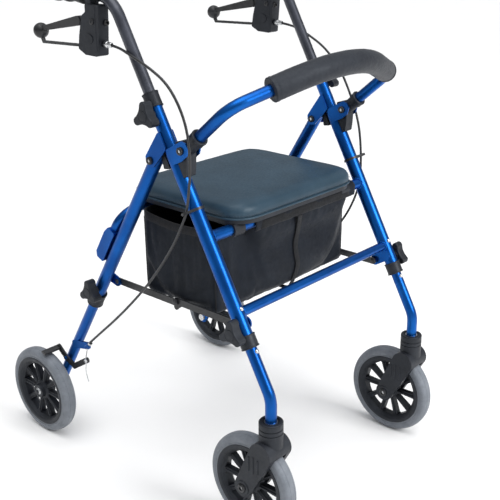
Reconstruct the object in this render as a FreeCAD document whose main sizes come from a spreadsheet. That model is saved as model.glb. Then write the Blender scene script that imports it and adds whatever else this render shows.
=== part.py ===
import FreeCAD, Part
import math
import os

import Sketcher

# A folding rollator walker: two bent front legs on casters, two straight rear legs hinged to
# them, a lift-up seat over a cloth bag, a curved backrest and two braked push handles.
# Millimetres. +Z is up, the user walks towards -Y, and +X is the user's left.
# The origin is on the floor, midway between the front and rear wheels.

SIZES = {
    # wheels and where they stand
    "wheel_radius": 100, "tyre_inner_radius": 76, "tyre_half_width": 16, "half_wheelbase": 298.5,
    "rear_wheel_x": 282, "side_x": 237, "caster_trail": 45, "boss_radius": 17,
    "boss_half_length": 17.5, "axle_radius": 6, "web_half": 6, "spoke_windows": 10,
    # frame lines
    "front_lean": 28.95, "front_bend_height": 293.5, "hinge_y": -67.5, "hinge_height": 692,
    # tube radii
    "front_tube_radius": 14, "socket_radius": 12.7, "rear_tube_radius": 13,
    "inner_tube_radius": 11, "tube_bore_radius": 11.3, "inner_bore_radius": 9.2,
    "seat_tube_radius": 11, "cross_tube_radius": 9.5, "cross_bore_radius": 8,
    # distances along the front leg, from its bend
    "front_tube_foot": 108, "front_tube_top": 485, "socket_top": 588, "front_knob_along": 137,
    "low_cross_along": 165.7, "seat_hinge_along": 312.3, "tie_along": 367,
    "handle_knob_along": 552, "front_insert_top": 225, "handle_insert_foot": 430,
    # distances along the rear leg, from the axle
    "rear_tube_foot": 298, "rear_tube_top": 712, "rear_knob_along": 332,
    "rear_insert_foot": -14, "rear_insert_top": 422, "seat_bar_along": 534, "seat_bar_behind": 26,
    # bends
    "front_bend_radius": 60, "handle_bend_radius": 70, "seat_bar_bend_radius": 42,
    "backrest_arm": 104, "backrest_foot": 10, "backrest_side_radius": 50,
    "backrest_side_turn": 63.4, "backrest_arc_radius": 285.5, "backrest_tilt": 39.9,
    # push handle
    "handle_height": 975, "grip_start": 106, "grip_end": 240, "grip_radius": 16.5,
    "housing_x": 242, "housing_half_width": 12, "lever_pivot_y": 72,
    "lever_pivot_height": 928, "ball_radius": 15,
    # seat, pads and bag
    "seat_width": 380, "seat_front": -226.5, "seat_back": 86.5, "seat_corner": 62,
    "seat_base_bottom": 578.3, "seat_base_thickness": 8, "seat_top": 617, "seat_edge_round": 13,
    "clip_x": 150, "clip_width": 28,
    "pad_radius": 24, "pad_setback": 52,
    "bag_half_width": 203, "bag_front": -176.5, "bag_back": 24,
    "bag_bottom": 400, "bag_top": 560, "bag_wall": 2.5, "strap_width": 22, "strap_thickness": 2,
    # folding braces
    "brace_front_y": -248.5, "brace_rear_y": 86.5, "brace_height": 404, "brace_width": 14,
    "brace_thickness": 3, "rivet_radius": 4, "link_bar_radius": 4.5, "link_bar_drop": 12,
    # brackets, bolts and collars
    "plate_gap": 14.2, "plate_thickness": 3, "bolt_radius": 5, "bolt_head_radius": 7,
    "bolt_head_height": 3, "collar_radius": 16.5, "high_collar_radius": 15, "collar_bore_radius": 11.08,
    "backrest_pivot_ahead": 37.3, "backrest_pivot_along": 470.2,
    # knobs
    "lobe_radius": 8, "lobe_offset": 19, "knob_thickness": 20, "knob_stand": 18,
    "screw_radius": 4,
    # brakes
    "cable_radius": 2.5, "tie_loop_radius": 7.4, "tie_width": 5,
    "brake_pivot_y": 246, "brake_pivot_height": 185, "brake_bar_radius": 108,
    "brake_bar_angle": 15.4, "anchor_y": 174, "anchor_height": 235,
    # casters
    "fork_head_radius": 23, "fork_head_top": 247, "fork_head_bottom": 205, "fork_half_width": 31,
    "fork_gap_half": 18.5, "fork_wheel_clearance": 104, "stem_bottom": 212,
}

DOC = FreeCAD.newDocument("rollator")
SHEET = DOC.addObject("Spreadsheet::Sheet", "Sizes")
for row, (word, number) in enumerate(SIZES.items(), 1):
    SHEET.set(f"A{row}", word)
    SHEET.set(f"B{row}", str(number))
    SHEET.setAlias(f"B{row}", word)
DOC.recompute()

V = FreeCAD.Vector
X_AXIS = V(1, 0, 0)
Z_AXIS = V(0, 0, 1)
SIDES = {"left": 1, "right": -1}
NODES = []


# ---------------------------------------------------------------- sizes and places

def value(text):
    """The number that an expression on the sheet's cells comes to."""
    return float(SHEET.evalExpression(text))


def size(word):
    return float(SHEET.get(word))


SIDE_X = size("side_x")
STEM_Y = -(size("half_wheelbase") + size("caster_trail"))
BEND_Z = size("front_bend_height")
AXLE_Y = size("half_wheelbase")
AXLE_Z = size("wheel_radius")
LEAN = math.radians(size("front_lean"))
REAR_LEAN = math.atan2(AXLE_Y - size("hinge_y"), size("hinge_height") - AXLE_Z)


def front(along, behind=0.0):
    """(y, z) of a point on a front leg: along its axis from the bend, and behind that axis."""
    y = STEM_Y + along * math.sin(LEAN) + behind * math.cos(LEAN)
    z = BEND_Z + along * math.cos(LEAN) - behind * math.sin(LEAN)
    return y, z


def rear(along, behind=0.0):
    """(y, z) of a point on a rear leg: along its axis from the axle, and behind that axis."""
    y = AXLE_Y - along * math.sin(REAR_LEAN) + behind * math.cos(REAR_LEAN)
    z = AXLE_Z + along * math.cos(REAR_LEAN) + behind * math.sin(REAR_LEAN)
    return y, z


def front_place(x, along, behind=0.0):
    """A placement whose Z runs up the front leg."""
    y, z = front(along, behind)
    return FreeCAD.Placement(V(x, y, z), FreeCAD.Rotation(X_AXIS, -math.degrees(LEAN)))


def rear_place(x, along, behind=0.0):
    """A placement whose Z runs up the rear leg."""
    y, z = rear(along, behind)
    return FreeCAD.Placement(V(x, y, z), FreeCAD.Rotation(X_AXIS, math.degrees(REAR_LEAN)))


def outward(side, x, point):
    """A placement at |x| on one side whose Z runs outward, away from the middle."""
    return FreeCAD.Placement(V(side * x, *point), FreeCAD.Rotation(Z_AXIS, V(side, 0, 0)))


def at(x, y, z):
    return FreeCAD.Placement(V(x, y, z), FreeCAD.Rotation())


# ---------------------------------------------------------------- solids

def cylinder(name, radius, length, placement):
    rod = DOC.addObject("Part::Cylinder", name)
    rod.setExpression("Radius", radius)
    rod.setExpression("Height", length)
    rod.Placement = placement
    return rod


def cone(name, foot_radius, top_radius, length, placement):
    taper = DOC.addObject("Part::Cone", name)
    taper.setExpression("Radius1", foot_radius)
    taper.setExpression("Radius2", top_radius)
    taper.setExpression("Height", length)
    taper.Placement = placement
    return taper


def box(name, length, width, height, placement):
    block = DOC.addObject("Part::Box", name)
    block.setExpression("Length", length)
    block.setExpression("Width", width)
    block.setExpression("Height", height)
    block.Placement = placement
    return block


def fuse(name, pieces):
    joined = DOC.addObject("Part::MultiFuse", name)
    joined.Shapes = pieces
    joined.Refine = True
    return joined


def cut(name, base, tools):
    """The base with every tool taken away."""
    tool = tools[0]
    if len(tools) > 1:
        tool = DOC.addObject("Part::Compound", f"{name}_tools")
        tool.Links = tools
    left = DOC.addObject("Part::Cut", name)
    left.Base = base
    left.Tool = tool
    return left


def group(name, pieces):
    """Separate solids that make one sub-part."""
    several = DOC.addObject("Part::Compound", name)
    several.Links = pieces
    return several


def node(name, thing):
    """Names a finished sub-part."""
    thing.Label = name
    NODES.append(thing)
    return thing


def pipe(name, outer, bore, length, placement):
    solid = cylinder(f"{name}_outside", outer, length, placement)
    hollow = cylinder(f"{name}_bore", bore, length, placement)
    return cut(name, solid, [hollow])


# ---------------------------------------------------------------- sketched bodies

def plane(body, role):
    return next(item for item in body.Origin.OriginFeatures if item.Role == role)


def sketch(body, name, role):
    flat = body.newObject("Sketcher::SketchObject", name)
    flat.AttachmentSupport = [(plane(body, role), "")]
    flat.MapMode = "FlatFace"
    return flat


def hold(flat, constraint, name, text):
    """Adds a dimension to a sketch and ties it to the sheet."""
    index = flat.addConstraint(constraint)
    flat.renameConstraint(index, name)
    flat.setExpression(f"Constraints.{name}", text)


def add_circle(flat, name, radius, centre=(0.0, 0.0)):
    spot = V(*centre, 0)
    ring = flat.addGeometry(Part.Circle(spot, Z_AXIS, value(radius)))
    hold(flat, Sketcher.Constraint("Radius", ring, value(radius)), name, radius)
    return ring


def pad(body, flat, name, length, both_ways=False):
    block = body.newObject("PartDesign::Pad", name)
    block.Profile = flat
    block.setExpression("Length", length)
    block.Midplane = both_ways
    return block


def add_outline(flat, corners):
    """A closed outline of straight edges through the corners."""
    for this, following in zip(corners, corners[1:] + corners[:1]):
        flat.addGeometry(Part.LineSegment(V(*this, 0), V(*following, 0)))
    for edge in range(len(corners)):
        following = (edge + 1) % len(corners)
        flat.addConstraint(Sketcher.Constraint("Coincident", edge, 2, following, 1))


def round_edges(body, base, name, radius, wanted):
    """Rounds the edges of a feature that the test picks."""
    DOC.recompute()
    edges = [f"Edge{i}" for i, edge in enumerate(base.Shape.Edges, 1) if wanted(edge)]
    soft = body.newObject("PartDesign::Fillet", name)
    soft.Base = (base, edges)
    soft.setExpression("Radius", radius)
    return soft


def along_x(edge):
    first, last = edge.Vertexes[0].Point, edge.Vertexes[-1].Point
    run = last - first
    return run.Length > 0 and abs(abs(run.x) - run.Length) < 1e-6


def plate(name, side, inner_x, thickness, corners, rounding="3"):
    """A flat plate in a side plane, from |x| = inner_x outward, with rounded corners."""
    body = DOC.addObject("PartDesign::Body", name)
    flat = sketch(body, f"{name}_outline", "YZ_Plane")
    add_outline(flat, corners)
    block = pad(body, flat, f"{name}_pad", thickness)
    round_edges(body, block, f"{name}_corners", rounding, along_x)
    start = side * inner_x - (value(thickness) if side < 0 else 0)
    body.Placement = at(start, 0, 0)
    return body


def link(name, side, inner_x, thickness, ends):
    """A flat link in a side plane: two round ends and the tangents between them."""
    (first, first_radius), (last, last_radius) = ends
    body = DOC.addObject("PartDesign::Body", name)
    flat = sketch(body, f"{name}_outline", "YZ_Plane")
    a, b = V(*first, 0), V(*last, 0)
    ra, rb = value(first_radius), value(last_radius)
    direction = math.atan2(b.y - a.y, b.x - a.x)
    open_angle = math.acos((ra - rb) / (b - a).Length)
    low, high = direction - open_angle, direction + open_angle
    spread = V(math.cos(low), math.sin(low), 0), V(math.cos(high), math.sin(high), 0)
    full = 2 * math.pi
    round_a = flat.addGeometry(Part.ArcOfCircle(Part.Circle(a, Z_AXIS, ra), high, low + full))
    side_low = flat.addGeometry(Part.LineSegment(a + spread[0] * ra, b + spread[0] * rb))
    round_b = flat.addGeometry(Part.ArcOfCircle(Part.Circle(b, Z_AXIS, rb), low, high))
    side_high = flat.addGeometry(Part.LineSegment(b + spread[1] * rb, a + spread[1] * ra))
    flat.addConstraint(Sketcher.Constraint("Tangent", round_a, 2, side_low, 1))
    flat.addConstraint(Sketcher.Constraint("Tangent", side_low, 2, round_b, 1))
    flat.addConstraint(Sketcher.Constraint("Tangent", round_b, 2, side_high, 1))
    flat.addConstraint(Sketcher.Constraint("Tangent", side_high, 2, round_a, 1))
    hold(flat, Sketcher.Constraint("Radius", round_a, ra), "first_end", first_radius)
    hold(flat, Sketcher.Constraint("Radius", round_b, rb), "last_end", last_radius)
    pad(body, flat, f"{name}_pad", thickness)
    start = side * inner_x - (value(thickness) if side < 0 else 0)
    body.Placement = at(start, 0, 0)
    return body


def bent_tube(name, runs, bends, outer, bore, placement):
    """A tube bent in its own YZ plane. It starts at the origin along +Z, and a positive turn
    heads it towards +Y. Each bend is its centreline radius and its turn in degrees."""
    body = DOC.addObject("PartDesign::Body", name)
    path = sketch(body, f"{name}_path", "YZ_Plane")
    here = V(0, 0, 0)
    turned = "0"
    for number, run in enumerate(runs):
        heading = math.radians(value(turned))
        there = here + V(math.sin(heading), math.cos(heading), 0) * value(run)
        line = path.addGeometry(Part.LineSegment(here, there))
        if number == 0:
            path.addConstraint(Sketcher.Constraint("Coincident", line, 1, -1, 1))
        else:
            path.addConstraint(Sketcher.Constraint("Tangent", *arc_end, line, 1))
        hold(path, Sketcher.Constraint("Distance", line, value(run)), f"run_{number}", run)
        slope = Sketcher.Constraint("Angle", line, math.pi / 2 - heading)
        hold(path, slope, f"heading_{number}", f"90 - ({turned})")
        if number == len(bends):
            break
        radius, turn = bends[number]
        way = math.copysign(1, value(turn))
        inward = V(math.cos(heading), -math.sin(heading), 0) * way
        centre = there + inward * value(radius)
        start = math.atan2(-inward.y, -inward.x)
        stop = start - math.radians(value(turn))
        round_part = Part.Circle(centre, Z_AXIS, value(radius))
        arc = path.addGeometry(Part.ArcOfCircle(round_part, min(start, stop), max(start, stop)))
        near_end, far_end = (2, 1) if way > 0 else (1, 2)
        path.addConstraint(Sketcher.Constraint("Tangent", line, 2, arc, near_end))
        hold(path, Sketcher.Constraint("Radius", arc, value(radius)), f"bend_{number}", radius)
        arc_end = (arc, far_end)
        here = centre + V(math.cos(stop), math.sin(stop), 0) * value(radius)
        turned = f"{turned} + ({turn})"
    ring = sketch(body, f"{name}_ring", "XY_Plane")
    add_circle(ring, "outside", outer)
    add_circle(ring, "bore", bore)
    for circle in (0, 1):
        ring.addConstraint(Sketcher.Constraint("Coincident", circle, 3, -1, 1))
    sweep = body.newObject("PartDesign::AdditivePipe", f"{name}_pipe")
    sweep.Profile = ring
    sweep.Spine = path
    body.Placement = placement
    return body


def turned_part(name, profile, placement, rounding=None):
    """A body of revolution about its own X axis; the profile is (x, radius) corners."""
    body = DOC.addObject("PartDesign::Body", name)
    flat = sketch(body, f"{name}_profile", "XY_Plane")
    add_outline(flat, profile)
    spin = body.newObject("PartDesign::Revolution", f"{name}_turn")
    spin.Profile = flat
    spin.ReferenceAxis = (flat, ["H_Axis"])
    spin.Angle = 360
    if rounding:
        radius, wanted = rounding
        round_edges(body, spin, f"{name}_rounding", radius, wanted)
    body.Placement = placement
    return body


# ---------------------------------------------------------------- frame

def brace_tab(name, side, pivot, leg_point):
    """A tab welded to a leg, with the stud that a folding brace turns on."""
    leaf = link(f"{name}_leaf", side, 222, "Sizes.brace_thickness",
                [(pivot, "11"), (leg_point, "12")])
    return leaf


def brace_stud(name, side, pivot, reach):
    start = outward(side, 223 - reach, pivot)
    return cylinder(name, "Sizes.rivet_radius - 0.1", str(reach), start)


BRACE_FRONT = (size("brace_front_y"), size("brace_height"))
BRACE_REAR = (size("brace_rear_y"), size("brace_height"))
BRACE_MIDDLE = ((BRACE_FRONT[0] + BRACE_REAR[0]) / 2, size("brace_height"))
HINGE = (size("hinge_y"), size("hinge_height"))
BACKREST_PIVOT = front(size("backrest_pivot_along"), -size("backrest_pivot_ahead"))


def upright(tag, side):
    """One front leg's outer tube, its handle socket above and the brace tab."""
    x = side * SIDE_X
    foot, top, peak = size("front_tube_foot"), size("front_tube_top"), size("socket_top")
    leg = cylinder(f"leg_{tag}", "Sizes.front_tube_radius",
                   "Sizes.front_tube_top - Sizes.front_tube_foot", front_place(x, foot))
    socket = cylinder(f"socket_{tag}", "Sizes.socket_radius",
                      "Sizes.socket_top - Sizes.front_tube_top", front_place(x, top))
    leaf = brace_tab(f"front_tab_{tag}", side, BRACE_FRONT, front(145))
    stud = brace_stud(f"front_stud_{tag}", side, BRACE_FRONT, 10.5)
    solid = fuse(f"upright_solid_{tag}", [leg, socket, leaf, stud])
    bore = cylinder(f"upright_bore_{tag}", "Sizes.tube_bore_radius", str(peak - foot),
                    front_place(x, foot))
    screws = []
    for number, along in enumerate((size("front_knob_along"), size("handle_knob_along"))):
        start = outward(side, SIDE_X, front(along))
        screws.append(cylinder(f"screw_hole_{tag}_{number}", "Sizes.screw_radius + 0.1", "20",
                               start))
    node(f"upright_{tag}", cut(f"upright_cut_{tag}", solid, [bore] + screws))


def cross_tube(name, radius, bore, along):
    """A tube across the frame, its ends shaped to the front legs."""
    y, z = front(along)
    start = FreeCAD.Placement(V(-SIDE_X, y, z), FreeCAD.Rotation(Z_AXIS, X_AXIS))
    solid = cylinder(f"{name}_outside", radius, "2 * Sizes.side_x", start)
    tools = [cylinder(f"{name}_bore", bore, "2 * Sizes.side_x", start)]
    for tag, side in SIDES.items():
        tools.append(cylinder(f"{name}_leg_{tag}", "Sizes.front_tube_radius", "120",
                              front_place(side * SIDE_X, along - 60)))
    node(name, cut(f"{name}_cut", solid, tools))


def bolt(name, side, point, half):
    """A pivot bolt across one side plane, with a low round head at each end."""
    pieces = [cylinder(f"{name}_shank", "Sizes.bolt_radius", str(2 * half),
                       outward(side, SIDE_X - half, point))]
    for end, direction in (("out", 1), ("in", -1)):
        start = FreeCAD.Placement(V(side * (SIDE_X + direction * half), *point),
                                  FreeCAD.Rotation(Z_AXIS, V(side * direction, 0, 0)))
        pieces.append(cone(f"{name}_head_{end}", "Sizes.bolt_head_radius",
                           "Sizes.bolt_head_radius - 2", "Sizes.bolt_head_height", start))
    return fuse(name, pieces)


def side_plates(name, corners, hole):
    """A pair of plates on each side of the frame, with one bolt hole through them."""
    pieces = []
    for tag, side in SIDES.items():
        gap, thick = size("plate_gap"), size("plate_thickness")
        for layer, inner in (("outer", SIDE_X + gap), ("inner", SIDE_X - gap - thick)):
            blank = plate(f"{name}_{tag}_{layer}", side, inner, "Sizes.plate_thickness", corners)
            drill = cylinder(f"{name}_{tag}_{layer}_hole", "Sizes.bolt_radius", "20",
                             outward(side, inner - 8, hole))
            pieces.append(cut(f"{name}_{tag}_{layer}_drilled", blank, [drill]))
    node(name, group(f"{name}_group", pieces))


def collar(name, radius, length, seat_radius, low_place, seat_place):
    """A clamp collar: its bore fits the sliding tube, its seat the end of the outer tube."""
    ring = cylinder(f"{name}_ring", radius, length, low_place)
    bore = cylinder(f"{name}_bore", "Sizes.collar_bore_radius", length, low_place)
    seat_cut = cylinder(f"{name}_seat", seat_radius, length, seat_place)
    return cut(name, ring, [bore, seat_cut])


def frame_collars():
    """Clamp collars at the lower and upper ends of the front tubes, and the fold bumpers."""
    pieces = []
    foot, peak = size("front_tube_foot"), size("socket_top")
    for tag, side in SIDES.items():
        x = side * SIDE_X
        pieces.append(collar(f"low_collar_{tag}", "Sizes.collar_radius", "23",
                             "Sizes.front_tube_radius", front_place(x, foot - 7),
                             front_place(x, foot)))
        pieces.append(collar(f"high_collar_{tag}", "Sizes.high_collar_radius", "26",
                             "Sizes.socket_radius", front_place(x, peak - 23),
                             front_place(x, peak - 26)))
        bumper = [front(452, 14.2), front(484, 14.2), front(478, 24), front(458, 30)]
        pieces.append(plate(f"bumper_{tag}", side, SIDE_X - 9, "18", bumper, "2"))
    node("frame_collars", group("frame_collar_group", pieces))


# Where a tie holds its cable: how far outward of the leg's axis and how far behind it.
TIE_REACH = {"right": (19, 5.5), "left": (22, -11.4)}


def cable_ties():
    """A strap round each front leg and the brake cable beside it."""
    pieces = []
    for tag, side in SIDES.items():
        rings = []
        reach, behind = TIE_REACH[tag]
        for layer, grow in (("outside", 2.3), ("inside", 0.1)):
            body = DOC.addObject("PartDesign::Body", f"tie_{layer}_{tag}")
            flat = sketch(body, f"tie_outline_{layer}_{tag}", "XY_Plane")
            a, b = V(0, 0, 0), V(side * reach, behind, 0)
            ra, rb = size("front_tube_radius") + grow, size("tie_loop_radius") + grow
            direction = math.atan2(b.y, b.x)
            open_angle = math.acos((ra - rb) / b.Length)
            low, high = direction - open_angle, direction + open_angle
            ends = V(math.cos(low), math.sin(low), 0), V(math.cos(high), math.sin(high), 0)
            flat.addGeometry(Part.ArcOfCircle(Part.Circle(a, Z_AXIS, ra), high,
                                              low + 2 * math.pi))
            flat.addGeometry(Part.LineSegment(a + ends[0] * ra, b + ends[0] * rb))
            flat.addGeometry(Part.ArcOfCircle(Part.Circle(b, Z_AXIS, rb), low, high))
            flat.addGeometry(Part.LineSegment(b + ends[1] * rb, a + ends[1] * ra))
            pad(body, flat, f"tie_pad_{layer}_{tag}", "Sizes.tie_width")
            body.Placement = front_place(side * SIDE_X,
                                         size("tie_along") - size("tie_width") / 2)
            rings.append(body)
        pieces.append(cut(f"tie_{tag}", rings[0], rings[1:]))
    node("cable_ties", group("tie_group", pieces))


# ---------------------------------------------------------------- cables

# Each side's route, from the brake housing to the tie and on to the anchor: |x|, y, z. The two
# hang differently: the left one bows further ahead of its leg.
UPPER_ROUTES = {
    "right": [(241, 41.5, 888), (248, 6, 887), (253.5, -32, 876), (257, -84, 860),
              (258.5, -128, 838), (259.5, -159, 800), (260, -175, 760), (260, -179, 712),
              (259, -174, 662), (256, -161, 612)],
    "left": [(241, 41, 888), (249, 10, 884.5), (255.5, -28, 866.5), (259, -72, 842),
             (262, -112, 800), (263.5, -140, 748), (263, -161, 700), (261.5, -171.5, 656),
             (259, -176, 620)],
}
LOWER_ROUTES = {
    "right": [(256, -161, 612), (255.6, -136, 562), (255, -103.5, 514), (254, -66, 467),
              (253, -24, 420), (251.5, 22, 374), (250, 72, 327), (248, 125, 281),
              (246, 170, 241)],
    "left": [(259, -176, 620), (259, -177.5, 585), (258.5, -173.5, 550), (258, -162, 515),
             (257, -142, 475), (255.5, -112, 434), (254, -74, 398), (252.5, -28, 370),
             (251, 22, 345), (249.5, 72, 317.3), (248, 122, 283.5), (246, 170, 241)],
}


def route_wire(points):
    """Straight runs joined by tangent arcs: an arc's radius is 0.45 of the shorter of its two
    runs, divided by the tangent of half the turn."""
    edges = []
    here = points[0]
    for before, corner, after in zip(points, points[1:], points[2:]):
        reach = 0.45 * min((corner - before).Length, (after - corner).Length)
        into, out = (corner - before).normalize(), (after - corner).normalize()
        arc_start = corner - into * reach
        arc_stop = corner + out * reach
        half_turn = into.getAngle(out) / 2
        radius = reach / math.tan(half_turn)
        middle_way = (out - into).normalize()
        centre = corner + middle_way * (radius / math.cos(half_turn))
        edges.append(Part.LineSegment(here, arc_start).toShape())
        middle = centre - middle_way * radius
        edges.append(Part.Arc(arc_start, middle, arc_stop).toShape())
        here = arc_stop
    edges.append(Part.LineSegment(here, points[-1]).toShape())
    return Part.Wire(edges)


def cable(name, side, route):
    """A round cable along one side's route."""
    path = DOC.addObject("Part::Feature", f"{name}_route")
    path.Shape = route_wire([V(side * x, y, z) for x, y, z in route])
    first, second = path.Shape.Vertexes[0].Point, path.Shape.Vertexes[1].Point
    ring = DOC.addObject("Part::Circle", f"{name}_section")
    ring.setExpression("Radius", "Sizes.cable_radius")
    ring.Placement = FreeCAD.Placement(first, FreeCAD.Rotation(Z_AXIS, second - first))
    tube = DOC.addObject("Part::Sweep", name)
    tube.Sections = [ring]
    tube.Spine = (path, [f"Edge{i}" for i in range(1, len(path.Shape.Edges) + 1)])
    tube.Solid = True
    return tube


def cables():
    """The brake cables: housing to tie with its end ferrule, and tie to anchor."""
    upper = []
    lower = []
    for tag, side in SIDES.items():
        upper.append(cable(f"upper_cable_{tag}", side, UPPER_ROUTES[tag]))
        lower.append(cable(f"lower_cable_{tag}", side, LOWER_ROUTES[tag]))
    node("cables_upper", group("upper_cable_group", upper))
    node("cables_lower", group("lower_cable_group", lower))


# ---------------------------------------------------------------- bag and strap

def rounded_block(name, half_width, front_y, back_y, bottom, height, corner):
    """A block with rounded upright corners, standing at z = bottom."""
    body = DOC.addObject("PartDesign::Body", name)
    flat = sketch(body, f"{name}_outline", "XY_Plane")
    add_outline(flat, [(-half_width, front_y), (half_width, front_y),
                       (half_width, back_y), (-half_width, back_y)])
    block = pad(body, flat, f"{name}_pad", height)
    round_edges(body, block, f"{name}_corners", corner,
                lambda edge: abs(edge.BoundBox.ZLength - value(height)) < 1e-6)
    body.Placement = at(0, 0, bottom)
    return body


def storage_bag():
    """The open-topped cloth bag under the seat."""
    half, front_y, back_y = size("bag_half_width"), size("bag_front"), size("bag_back")
    wall, bottom = size("bag_wall"), size("bag_bottom")
    outside = rounded_block("bag_outside", half, front_y, back_y, bottom,
                            "Sizes.bag_top - Sizes.bag_bottom", "18")
    inside = rounded_block("bag_inside", half - wall, front_y + wall, back_y - wall,
                           bottom + wall, "Sizes.bag_top - Sizes.bag_bottom", "15.5")
    node("storage_bag", cut("bag_shell", outside, [inside]))


def pull_strap():
    """The webbing strap from the seat tube down the bag's front and under it to the brace."""
    front_y = size("bag_front") - size("strap_thickness") - 0.5
    low = size("bag_bottom") - size("strap_thickness") - 0.5
    back = BRACE_MIDDLE[0] + size("link_bar_radius") + 3
    half = size("strap_width") / 2
    hang = box("strap_hang", "Sizes.strap_width", "Sizes.strap_thickness", str(552 - low),
               at(-half, front_y, low))
    under = box("strap_under", "Sizes.strap_width", str(back - front_y), "Sizes.strap_thickness",
                at(-half, front_y, low))
    node("pull_strap", fuse("strap", [hang, under]))


# ---------------------------------------------------------------- backrest

BACKREST_TILT = math.radians(size("backrest_tilt"))


def backrest_place(x, reach):
    """A placement in the backrest's plane: its Z points along the bar's side arms."""
    y = BACKREST_PIVOT[0] - reach * math.cos(BACKREST_TILT)
    z = BACKREST_PIVOT[1] + reach * math.sin(BACKREST_TILT)
    tilt = FreeCAD.Rotation(X_AXIS, 90 - size("backrest_tilt"))
    return FreeCAD.Placement(V(x, y, z), tilt)


def backrest():
    """The bar: two side arms, a bend each, and a long arc between two short straights, with
    the foam sleeve over the arc, the left straight and the inner part of the right one."""
    turn = math.radians(size("backrest_side_turn"))
    radius, arc_radius = size("backrest_side_radius"), size("backrest_arc_radius")
    shift, rise = radius * (1 - math.cos(turn)), radius * math.sin(turn)
    left_over = SIDE_X - shift - arc_radius * math.cos(turn)
    slope = str(left_over / math.sin(turn))
    arm = "Sizes.backrest_arm - Sizes.backrest_foot"
    side_bend = ("Sizes.backrest_side_radius", "Sizes.backrest_side_turn")
    middle_bend = ("Sizes.backrest_arc_radius", "180 - 2 * Sizes.backrest_side_turn")
    quarter = FreeCAD.Placement(V(), FreeCAD.Rotation(Z_AXIS, -90))
    bar = bent_tube("backrest_tube", [arm, slope, slope, arm],
                    [side_bend, middle_bend, side_bend], "Sizes.inner_tube_radius",
                    "Sizes.inner_bore_radius",
                    backrest_place(-SIDE_X, size("backrest_foot")).multiply(quarter))
    node("backrest_bar", bar)
    start = backrest_place(-SIDE_X + shift, size("backrest_arm") + rise)
    heading = FreeCAD.Placement(V(), FreeCAD.Rotation(X_AXIS, -size("backrest_side_turn")))
    along = FreeCAD.Placement(V(0, 0, size("pad_setback")), FreeCAD.Rotation())
    foam = bent_tube("backrest_foam", [f"{slope} - Sizes.pad_setback", slope], [middle_bend],
                     "Sizes.pad_radius", "Sizes.inner_tube_radius + 0.05",
                     start.multiply(quarter).multiply(heading).multiply(along))
    node("backrest_pad", foam)


def backrest_elbows():
    """The moulded elbows that hold the bar's ends, pivot on the ears and stop on the legs."""
    pieces = []
    for tag, side in SIDES.items():
        x = side * SIDE_X
        socket = cylinder(f"elbow_socket_{tag}", "13.4", "48", backrest_place(x, -8))
        lip = cylinder(f"elbow_lip_{tag}", "15.5", "11", backrest_place(x, 30))
        outline = [front(426, -14.4), front(470, -14.4), front(490, -30), front(486, -48),
                   front(462, -45), front(441, -32), front(426, -21)]
        leg = plate(f"elbow_leg_{tag}", side, SIDE_X - 12, "24", outline, "2.5")
        solid = fuse(f"elbow_solid_{tag}", [socket, lip, leg])
        bore = cylinder(f"elbow_bore_{tag}", "Sizes.inner_tube_radius + 0.05", "60",
                        backrest_place(x, size("backrest_foot")))
        drill = cylinder(f"elbow_hole_{tag}", "Sizes.bolt_radius + 0.1", "40",
                         outward(side, SIDE_X - 20, BACKREST_PIVOT))
        pieces.append(cut(f"elbow_{tag}", solid, [bore, drill]))
    node("backrest_elbows", group("elbow_group", pieces))


# ---------------------------------------------------------------- seat

def seat():
    half = size("seat_width") / 2
    front_y, back_y = size("seat_front"), size("seat_back")
    bottom, thick = size("seat_base_bottom"), size("seat_base_thickness")
    base = rounded_block("base_block", half - 4, front_y + 4, back_y - 4, bottom,
                         "Sizes.seat_base_thickness", "Sizes.seat_corner - 4")
    hinge = FreeCAD.Placement(V(-half, *front(size("seat_hinge_along"))),
                              FreeCAD.Rotation(Z_AXIS, X_AXIS))
    groove = cylinder("base_groove", "Sizes.seat_tube_radius + 0.3", "Sizes.seat_width", hinge)
    node("seat_base", cut("base_cut", base, [groove]))
    cushion = rounded_block("cushion_block", half, front_y, back_y, bottom + thick,
                            "Sizes.seat_top - Sizes.seat_base_bottom - Sizes.seat_base_thickness",
                            "Sizes.seat_corner")
    top = size("seat_top") - bottom - thick
    round_edges(cushion, cushion.Tip, "cushion_rounding", "Sizes.seat_edge_round",
                lambda edge: edge.BoundBox.ZMin > top - 1e-3)
    node("seat_pad", cushion)
    clips = []
    inner, wide = size("clip_x"), size("clip_width")
    y, z = front(size("seat_hinge_along"))
    for tag, side in SIDES.items():
        saddle = cylinder(f"clip_saddle_{tag}", "Sizes.seat_tube_radius + 4", "Sizes.clip_width",
                          outward(side, inner, (y, z)))
        foot = box(f"clip_foot_{tag}", "Sizes.clip_width", "32", "5",
                   at(min(side * inner, side * (inner + wide)), y, bottom - 5))
        solid = fuse(f"clip_solid_{tag}", [saddle, foot])
        bore = cylinder(f"clip_bore_{tag}", "Sizes.seat_tube_radius + 0.1", "40",
                        outward(side, inner - 4, (y, z)))
        start_x = min(side * (inner - 5), side * (inner + 35))
        above = box(f"clip_above_{tag}", "40", "60", "20", at(start_x, y - 30, bottom))
        mouth = box(f"clip_mouth_{tag}", "40", "14", "20", at(start_x, y - 7, z - 24))
        clips.append(cut(f"clip_{tag}", solid, [bore, above, mouth]))
    node("seat_clips", group("clip_group", clips))


# ---------------------------------------------------------------- push handles

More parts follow.
